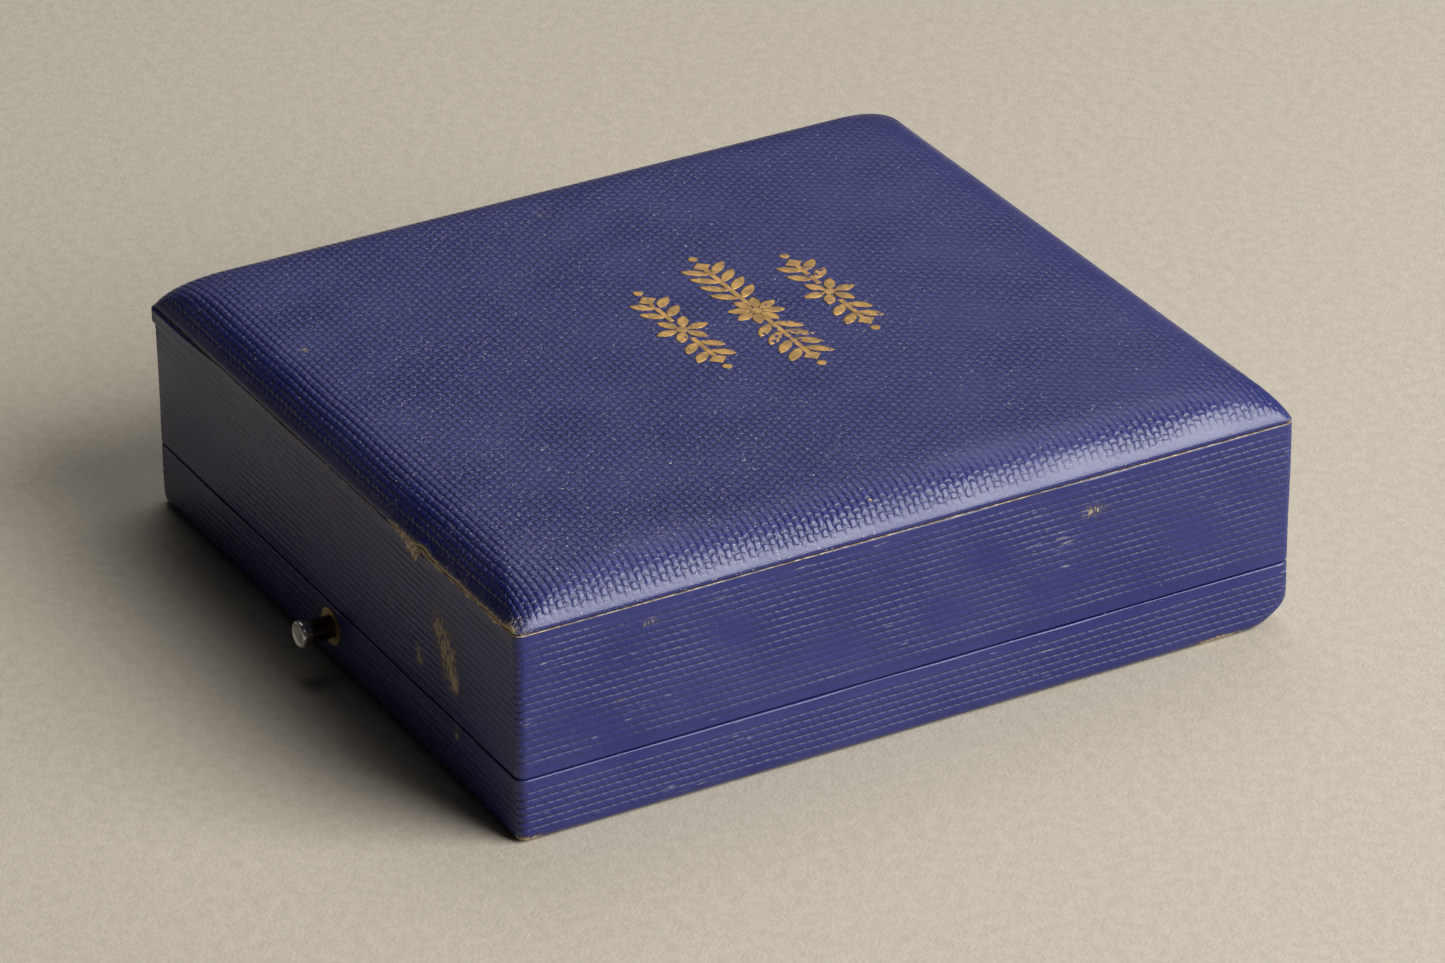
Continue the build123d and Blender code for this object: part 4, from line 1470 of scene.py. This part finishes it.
# ---- the inside ----------------------------------------------------------------------
@dataclass
class VelvetBed:
    """The velvet over the platform, dipping into an oval recess for the badge."""

    oval_x: float = 24.0 * MM
    oval_y: float = 31.0 * MM
    wall: float = 0.5 * MM
    bay_half: float = 7.7 * MM
    bay_back: float = -36.2 * MM
    spacing: float = 0.8 * MM
    snug: float = 0.14 * MM
    floor_rings: int = 12

    def build(self, finish: bpy.types.Material) -> bpy.types.Object:
        """Build the bed as one closed sheet with thickness.

        Args:
            finish: The velvet.

        Returns:
            The piece.
        """
        low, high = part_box("velvet_insert")
        edge, turn = self.border(high.x + self.snug, high.y + self.snug)
        oval = np.stack([self.oval_x * np.cos(turn), self.oval_y * np.sin(turn)], -1)
        under, top, floor = low.z + 4.35 * MM, high.z, low.z + self.wall
        rows = [(0.0, under), (0.0, top - 0.25 * MM), (0.008, top - 0.08 * MM), (0.02, top - 0.02 * MM)]
        rows += [(share, top + 0.02 * MM * math.sin(share * 40)) for share in np.linspace(0.05, 0.9, 20)]
        rim = top - 0.8 * MM
        rows += [(0.93, top - 0.03 * MM), (0.96, top - 0.12 * MM), (0.985, top - 0.35 * MM), (1.0, rim)]
        points = [self.ring(edge, oval, share, level) for share, level in rows]
        depth = rim - floor
        sink = [(0.998, 0.3), (0.992, 0.6), (0.985, 0.8), (0.97, 0.93), (0.945, 0.99), (0.9, 1.0)]
        points += [self.ring(edge, oval * s, 1.0, rim - depth * d) for s, d in sink]
        points += [self.ring(edge, oval * s, 1.0, floor) for s in np.linspace(0.82, 0.06, self.floor_rings)]
        outer = 1 + self.wall / self.oval_x * 0.98
        below = [(0.06, low.z), (0.5, low.z), (outer, low.z), (outer, under)]
        points += [self.ring(edge, oval * s, 1.0, level) for s, level in below]
        points = np.array(points)
        points[..., 2] += self.pile(points, under)
        centre = len(rows) + len(sink) + self.floor_rings
        quads = grid_faces(len(points), len(edge), True, True).tolist()
        faces = [quad for quad in quads if quad[0] // len(edge) != centre - 1]
        for row, flip in ((centre - 1, False), (centre, True)):
            cap = [row * len(edge) + n for n in range(len(edge))]
            faces.append(cap[::-1] if flip else cap)
        piece = new_piece("velvet_bed", points, faces, finish)
        place(piece, Body.BASE, Slot.VELVET, ["velvet_insert"])
        return piece

    def pile(self, points: Array, under: float) -> Array:
        """Give the slight unevenness of the pile, on the upper side only."""
        swell = 0.05 * MM * drift(points[..., 0], points[..., 1], 7 * MM, 51)
        return np.where(points[..., 2] > under + 0.3 * MM, swell, 0)

    def ring(self, edge: Array, oval: Array, share: float, level: float) -> Array:
        """Give one ring between the border and the oval, at one height."""
        plan = edge * (1 - share) + oval * share
        return np.column_stack([plan, np.full(len(plan), level)])

    def border(self, half_x: float, half_y: float) -> tuple[Array, Array]:
        """Walk the platform's border, with the bay for the catch left out.

        Args:
            half_x: Half of the platform's width.
            half_y: Half of its length.

        Returns:
            The border's points, and the angle on the oval that faces each.
        """
        bay, back = self.bay_half, self.bay_back
        keys = [
            (bay, back, -70.8), (bay, -half_y, -69.3), (half_x, -half_y, -45), (half_x, half_y, 45),
            (-half_x, half_y, 135), (-half_x, -half_y, 225), (-bay, -half_y, 249.3), (-bay, back, 250.8),
            (bay, back, 289.2),
        ]
        points, turns = [], []
        for (x0, y0, a0), (x1, y1, a1) in zip(keys, keys[1:]):
            count = max(3, round(math.hypot(x1 - x0, y1 - y0) / self.spacing))
            for n in range(count):
                share = n / count
                points.append((x0 + (x1 - x0) * share, y0 + (y1 - y0) * share))
                turns.append(math.radians(a0 + (a1 - a0) * share))
        return np.array(points), np.array(turns)


@dataclass
class SatinPad:
    """The wadded satin panel inside the lid, blown up as cloth and gathered at its edge."""

    scale: float = 10.0
    voxel: float = 9 * MM
    most_swell: float = 0.5 * MM
    inset: float = 0.25 * MM
    hollow: float = 0.95 * MM
    quality: int = 4
    pressure: float = 4.0
    frames: int = 20

    def build(self, finish: bpy.types.Material) -> bpy.types.Object:
        """Build the panel.

        Args:
            finish: The satin.

        Returns:
            The piece.
        """
        low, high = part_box("lid_satin_pad")
        centre = (low + high) / 2
        half = (high - low) / 2 - Vector((self.inset, self.inset, self.hollow))
        shape = bmesh.new()
        bmesh.ops.create_cube(shape, size=2.0, matrix=Matrix.Diagonal((*(half * self.scale), 1.0)))
        mesh = bpy.data.meshes.new("lid_pad")
        shape.to_mesh(mesh)
        shape.free()
        piece = in_scene("lid_pad", mesh)
        remesh = piece.modifiers.new("remesh", "REMESH")
        remesh.mode = "VOXEL"
        remesh.voxel_size = self.voxel
        piece.data = settled(piece)
        piece.modifiers.clear()
        start = self.coordinates(piece.data)
        self.blow_up(piece)
        points = self.coordinates(piece.data)
        moved = points - start
        reach = np.linalg.norm(moved, axis=1, keepdims=True)
        cap = self.most_swell * self.scale
        points = start + moved * np.minimum(1, cap / np.maximum(reach, 1e-9))
        points = points / self.scale
        points = self.gathered(points, half) + np.array(centre)
        points = np.clip(points, np.array(low), np.array(high))
        piece.data.vertices.foreach_set("co", points.astype(np.float32).ravel())
        dress(piece.data, finish)
        fine = piece.modifiers.new("fine", "SUBSURF")
        fine.levels = fine.render_levels = 1
        piece.data = settled(piece)
        piece.modifiers.clear()
        place(piece, Body.LID, Slot.SATIN, ["lid_satin_pad"])
        return piece

    def coordinates(self, mesh: bpy.types.Mesh) -> Array:
        """Read a mesh's points."""
        flat = np.zeros(len(mesh.vertices) * 3)
        mesh.vertices.foreach_get("co", flat)
        return flat.reshape(-1, 3)

    def blow_up(self, piece: bpy.types.Object) -> None:
        """Fill the panel with pressure as cloth and keep the result."""
        cloth = piece.modifiers.new("cloth", "CLOTH")
        cloth.settings.quality = self.quality
        cloth.settings.use_pressure = True
        cloth.settings.uniform_pressure_force = self.pressure
        cloth.settings.effector_weights.gravity = 0.0
        cloth.point_cache.frame_start = 1
        cloth.point_cache.frame_end = self.frames
        scene = bpy.context.scene
        for number in range(1, self.frames + 1):
            scene.frame_set(number)
        piece.data = settled(piece)
        piece.modifiers.clear()
        scene.frame_set(1)

    def gathered(self, points: Array, half: Vector) -> Array:
        """Gather the lower face into soft pleats that run in from its edge."""
        x, y, z = points.T
        edge = np.minimum(half.x - np.abs(x), half.y - np.abs(y))
        round_edge = np.where(half.x - np.abs(x) < half.y - np.abs(y), y, x)
        pleat = np.sin(2 * np.pi * round_edge / (2.9 * MM) + 2.2 * drift(x, y, 11 * MM, 61))
        fade = np.exp(-np.clip(edge, 0, None) / (6.5 * MM)) * smooth(-z, 0, half.z)
        soft = drift(x, y, 24 * MM, 62) * 0.14 + drift(x, y, 9 * MM, 63) * 0.05
        tuck = 0.8 * np.exp(-edge / (2.6 * MM)) * (z < 0)
        drop = 0.5 * pleat * fade + soft * smooth(-z, 0, half.z) - tuck
        return np.column_stack([x, y, z - drop * MM])


@dataclass
class LidLining:
    """Satin over card round the lid's inner walls, cut away for the striker."""

    thickness: float = 0.6 * MM
    bay_half: float = 5.3 * MM
    bay_top: float = 13.8 * MM
    rows: int = 22

    def build(self, finish: bpy.types.Material) -> bpy.types.Object:
        """Build the lining as a closed band with a rolled lower edge.

        Args:
            finish: The satin.

        Returns:
            The piece.
        """
        low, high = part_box("lid_wall_lining")
        outline = Outline(high.x, high.y, 0.4 * MM, 0.5 * MM, corner_steps=4, least_corner=0.1 * MM)
        bottom = np.where(outline.within(Side.FRONT, self.bay_half), self.bay_top, low.z)
        u = outline.length[:-1]
        flat = 0.0 * u
        rows = [(flat, bottom + 0.1 * MM), (flat, high.z + flat), (self.thickness + flat, high.z + flat)]
        pleat = 0.05 * np.sin(2 * np.pi * u / (2.6 * MM) + 2.5 * wander(u, 12 * MM, 71))
        for share in np.linspace(0.97, 0.03, self.rows):
            level = bottom + (high.z - bottom) * share
            puff = 0.06 * math.sin(math.pi * share) + pleat * (0.4 + 0.6 * share)
            rows.append((self.thickness + puff * MM, level))
        rows += [(0.42 * MM + flat, bottom), (0.15 * MM + flat, bottom)]
        faces = grid_faces(len(rows), len(u), True, True)
        piece = new_piece("lid_lining", outline.solid(*zip(*rows)), faces, finish)
        place(piece, Body.LID, Slot.SATIN, ["lid_wall_lining"])
        return piece


# ---- the catch -----------------------------------------------------------------------
@dataclass
class Catch:
    """The push button and its return spring; profiles are radius and length in millimetres."""

    height: float = 4.6 * MM
    sides: int = 64
    coil_radius: float = 1.5 * MM
    wire_radius: float = 0.15 * MM
    turns: float = 4.0
    wire_grid: tuple[int, int] = (160, 10)
    travel: float = 0.8 * MM
    disc: Profile = (
        (0.0, 0.16), (0.35, 0.16), (0.75, 0.14), (1.0, 0.1), (1.12, 0.04), (1.2, 0.0), (1.3, 0.02),
        (1.38, 0.08), (1.44, 0.2), (1.45, 0.4), (1.44, 0.62), (1.38, 0.76), (1.28, 0.84), (1.2, 0.9),
    )
    shank: Profile = (
        (1.16, 1.0), (1.17, 1.3), (1.2, 1.7), (1.2, 3.6), (1.2, 5.7), (1.2, 5.98), (1.46, 6.0),
        (1.5, 6.04), (1.5, 6.41), (1.46, 6.45), (0.9, 6.47), (0.9, 8.2),
    )
    tail: Profile = (
        (0.6, 8.25), (0.6, 8.75), (0.96, 8.76), (1.0, 8.82), (0.92, 9.0), (0.6, 9.05), (0.0, 9.05),
    )

    def build(self, finishes: Finishes) -> list[bpy.types.Object]:
        """Build both pieces.

        Args:
            finishes: The case's finishes.

        Returns:
            The button and the spring.
        """
        return [self.button(finishes.plated), self.spring(finishes.spring)]

    def button(self, finish: bpy.types.Material) -> bpy.types.Object:
        """Turn the button: a dished disc with a rolled edge, a shank, a collar and a riveted tail."""
        low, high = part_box("push_button")
        profile = np.array(self.disc + self.shank + self.tail) * MM
        profile[:, 1] *= (high.y - low.y) / profile[-1, 1]
        turn = np.arange(self.sides)[None, :] * 2 * np.pi / self.sides
        radius, along = profile[1:-1, 0][:, None], profile[1:-1, 1][:, None]
        points = np.stack(np.broadcast_arrays(
            radius * np.cos(turn), low.y + along, self.height + radius * np.sin(turn)), -1)
        faces = tube_faces(len(profile) - 2, self.sides)
        piece = new_piece("button_plunger", points, [f[::-1] for f in faces], finish)
        plate = 1.0 - smooth(along, 0.75 * MM, 1.4 * MM) * 0.75
        paint(piece.data, "plate", np.broadcast_to(plate, points.shape[:2]).ravel())
        place(piece, Body.PLUNGER, Slot.PLATED, ["push_button"])
        return piece

    def spring(self, finish: bpy.types.Material) -> bpy.types.Object:
        """Wind the return spring, with its end turns closed up."""
        low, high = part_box("return_spring")
        along, across = self.wire_grid
        share = np.linspace(0, 1, along)
        turn = 2 * np.pi * self.turns * share
        ends = self.wire_radius + 0.02 * MM
        y = high.y - ends - (high.y - low.y - 2 * ends) * smooth(share, -0.08, 1.08)
        coil = self.coil_radius
        middle = np.column_stack([coil * np.cos(turn), y, self.height + coil * np.sin(turn)])
        radial = np.column_stack([np.cos(turn), 0 * turn, np.sin(turn)])
        tangent = np.gradient(middle, axis=0)
        tangent /= np.linalg.norm(tangent, axis=1, keepdims=True)
        third = np.cross(tangent, radial)
        around = np.arange(across) * 2 * np.pi / across
        inward = radial[:, None, :] * np.cos(around)[None, :, None]
        sideways = third[:, None, :] * np.sin(around)[None, :, None]
        wire = self.wire_radius * (inward + sideways)
        faces = tube_faces(along, across)
        piece = new_piece("catch_spring", middle[:, None, :] + wire, faces, finish)
        place(piece, Body.BASE, Slot.SPRING, ["return_spring"])
        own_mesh(piece)
        return piece


@dataclass
class Fittings:
    """The pieces that keep their working shape and only get their real finish."""

    finishes: Finishes

    def plan(self) -> dict[bpy.types.Material, list[str]]:
        """Pair each finish with its pieces."""
        f = self.finishes
        sides = ("front", "rear", "left", "right")
        walls = [f"{body}_{side}_wall" for body in ("base", "lid") for side in sides]
        return {
            f.wood: walls + ["base_bottom_board", "lid_crown_board"],
            f.card: ["insert_board", "lid_pad_card"],
            f.paper: ["base_underside_paper"],
            f.brass: [
                "base_hinge_leaf", "lid_hinge_leaf", "base_leaf_tacks", "lid_leaf_tacks", "button_bush",
                "latch_rim_plate", "rim_plate_tacks", "striker_fork", "striker_tacks",
            ],
            f.steel: ["hinge_pin", "catch_plate"],
        }

    def dress(self) -> None:
        """Give each piece its finish."""
        for finish, names in self.plan().items():
            for name in names:
                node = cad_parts[name]
                if not node.material_slots:
                    node.data.materials.append(finish)
                for socket in node.material_slots:
                    socket.material = finish
                LOG.info("%s: %s", name, finish.name)


# ---- the studio ----------------------------------------------------------------------
@dataclass(frozen=True)
class Lamp:
    """A soft rectangular lamp, aimed at the case from a direction and distance."""

    name: str
    azimuth: float
    elevation: float
    distance: float
    width: float
    height: float
    radiance: float
    tint: tuple[float, float, float] = (1.0, 1.0, 1.0)

    def hang(self) -> None:
        """Hang the lamp; azimuth runs from +X towards +Y."""
        light = bpy.data.lights.new(self.name, "AREA")
        light.shape = "RECTANGLE"
        light.size, light.size_y = self.width, self.height
        light.energy = self.radiance * math.pi * self.width * self.height
        light.color = self.tint
        lamp = in_scene(self.name, light)
        a, e = math.radians(self.azimuth), math.radians(self.elevation)
        way = Vector((math.cos(a) * math.cos(e), math.sin(a) * math.cos(e), math.sin(e)))
        lamp.location = way * self.distance
        lamp.rotation_mode = "QUATERNION"
        lamp.rotation_quaternion = way.to_track_quat("Z", "Y")


@dataclass
class Studio:
    """The pale floor, the soft lamps and the camera."""

    azimuth: float = 60.983
    elevation: float = 28.990
    roll: float = -0.423
    distance: float = 0.72205
    lens: float = 174.5
    shift_x: float = 0.00488
    shift_y: float = 0.0543
    sensor: float = 36.0
    floor_reach: float = 3.0
    sky: Colour = (0.5, 0.49, 0.47, 1)
    sky_strength: float = 0.03
    lamps: Sequence[Lamp] = (
        Lamp("key", 36.0, 34.0, 1.0, 0.75, 0.8, 9.6),
        Lamp("back_left", 152.0, 30.0, 1.5, 1.5, 0.7, 0.34),
        Lamp("high_left", 132.0, 58.0, 1.4, 1.3, 0.85, 1.9),
    )

    def build(self, board: bpy.types.Material) -> None:
        """Set up everything round the case.

        Args:
            board: The floor's finish.
        """
        corners = ((-1, -1), (1, -1), (1, 1), (-1, 1))
        points = np.array([(x * self.floor_reach, y * self.floor_reach, 0.0) for x, y in corners])
        new_piece("floor", points, [[0, 1, 2, 3]], board)
        for lamp in self.lamps:
            lamp.hang()
        world = bpy.data.worlds.new("studio")
        world.use_nodes = True
        background = world.node_tree.nodes["Background"].inputs
        background["Color"].default_value = self.sky
        background["Strength"].default_value = self.sky_strength
        bpy.context.scene.world = world
        bpy.context.scene.view_settings.view_transform = "Standard"
        self.camera()

    def camera(self) -> None:
        """Set the camera."""
        a, e, r = (math.radians(v) for v in (self.azimuth, self.elevation, self.roll))
        back = Vector((math.sin(a) * math.cos(e), -math.cos(a) * math.cos(e), math.sin(e)))
        level = (-back).cross(Vector((0, 0, 1))).normalized()
        upright = level.cross(-back)
        right = level * math.cos(r) + upright * math.sin(r)
        up = upright * math.cos(r) - level * math.sin(r)
        lens = bpy.data.cameras.new("camera")
        lens.lens = self.lens
        lens.sensor_width = self.sensor
        lens.shift_x, lens.shift_y = self.shift_x, self.shift_y
        lens.clip_start, lens.clip_end = 0.05, 20.0
        camera = in_scene("camera", lens)
        turned = Matrix((right, up, back)).transposed().to_4x4()
        camera.matrix_world = Matrix.Translation(back * self.distance) @ turned
        bpy.context.scene.camera = camera


def main() -> None:
    """Build the case piece by piece, then the studio."""
    logging.basicConfig(level=logging.INFO, format="%(name)s: %(message)s")
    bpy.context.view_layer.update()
    finishes = Finishes()
    Fittings(finishes).dress()
    top = LidTop()
    sheet = top.build(finishes.leatherette)
    GiltDevice().build(sheet, finishes.gilt)
    LidSide("lid_side_cloth", "lid_side_covering", Body.LID).build(finishes.leatherette)
    BaseSide("base_side_cloth", "base_side_covering", Body.BASE).build(finishes.leatherette)
    SeamEdge().build(top, finishes.core)
    VelvetBed().build(finishes.velvet)
    SatinPad().build(finishes.satin)
    LidLining().build(finishes.satin)
    Catch().build(finishes)
    Studio().build(finishes.board)


if __name__ == "__main__":
    main()
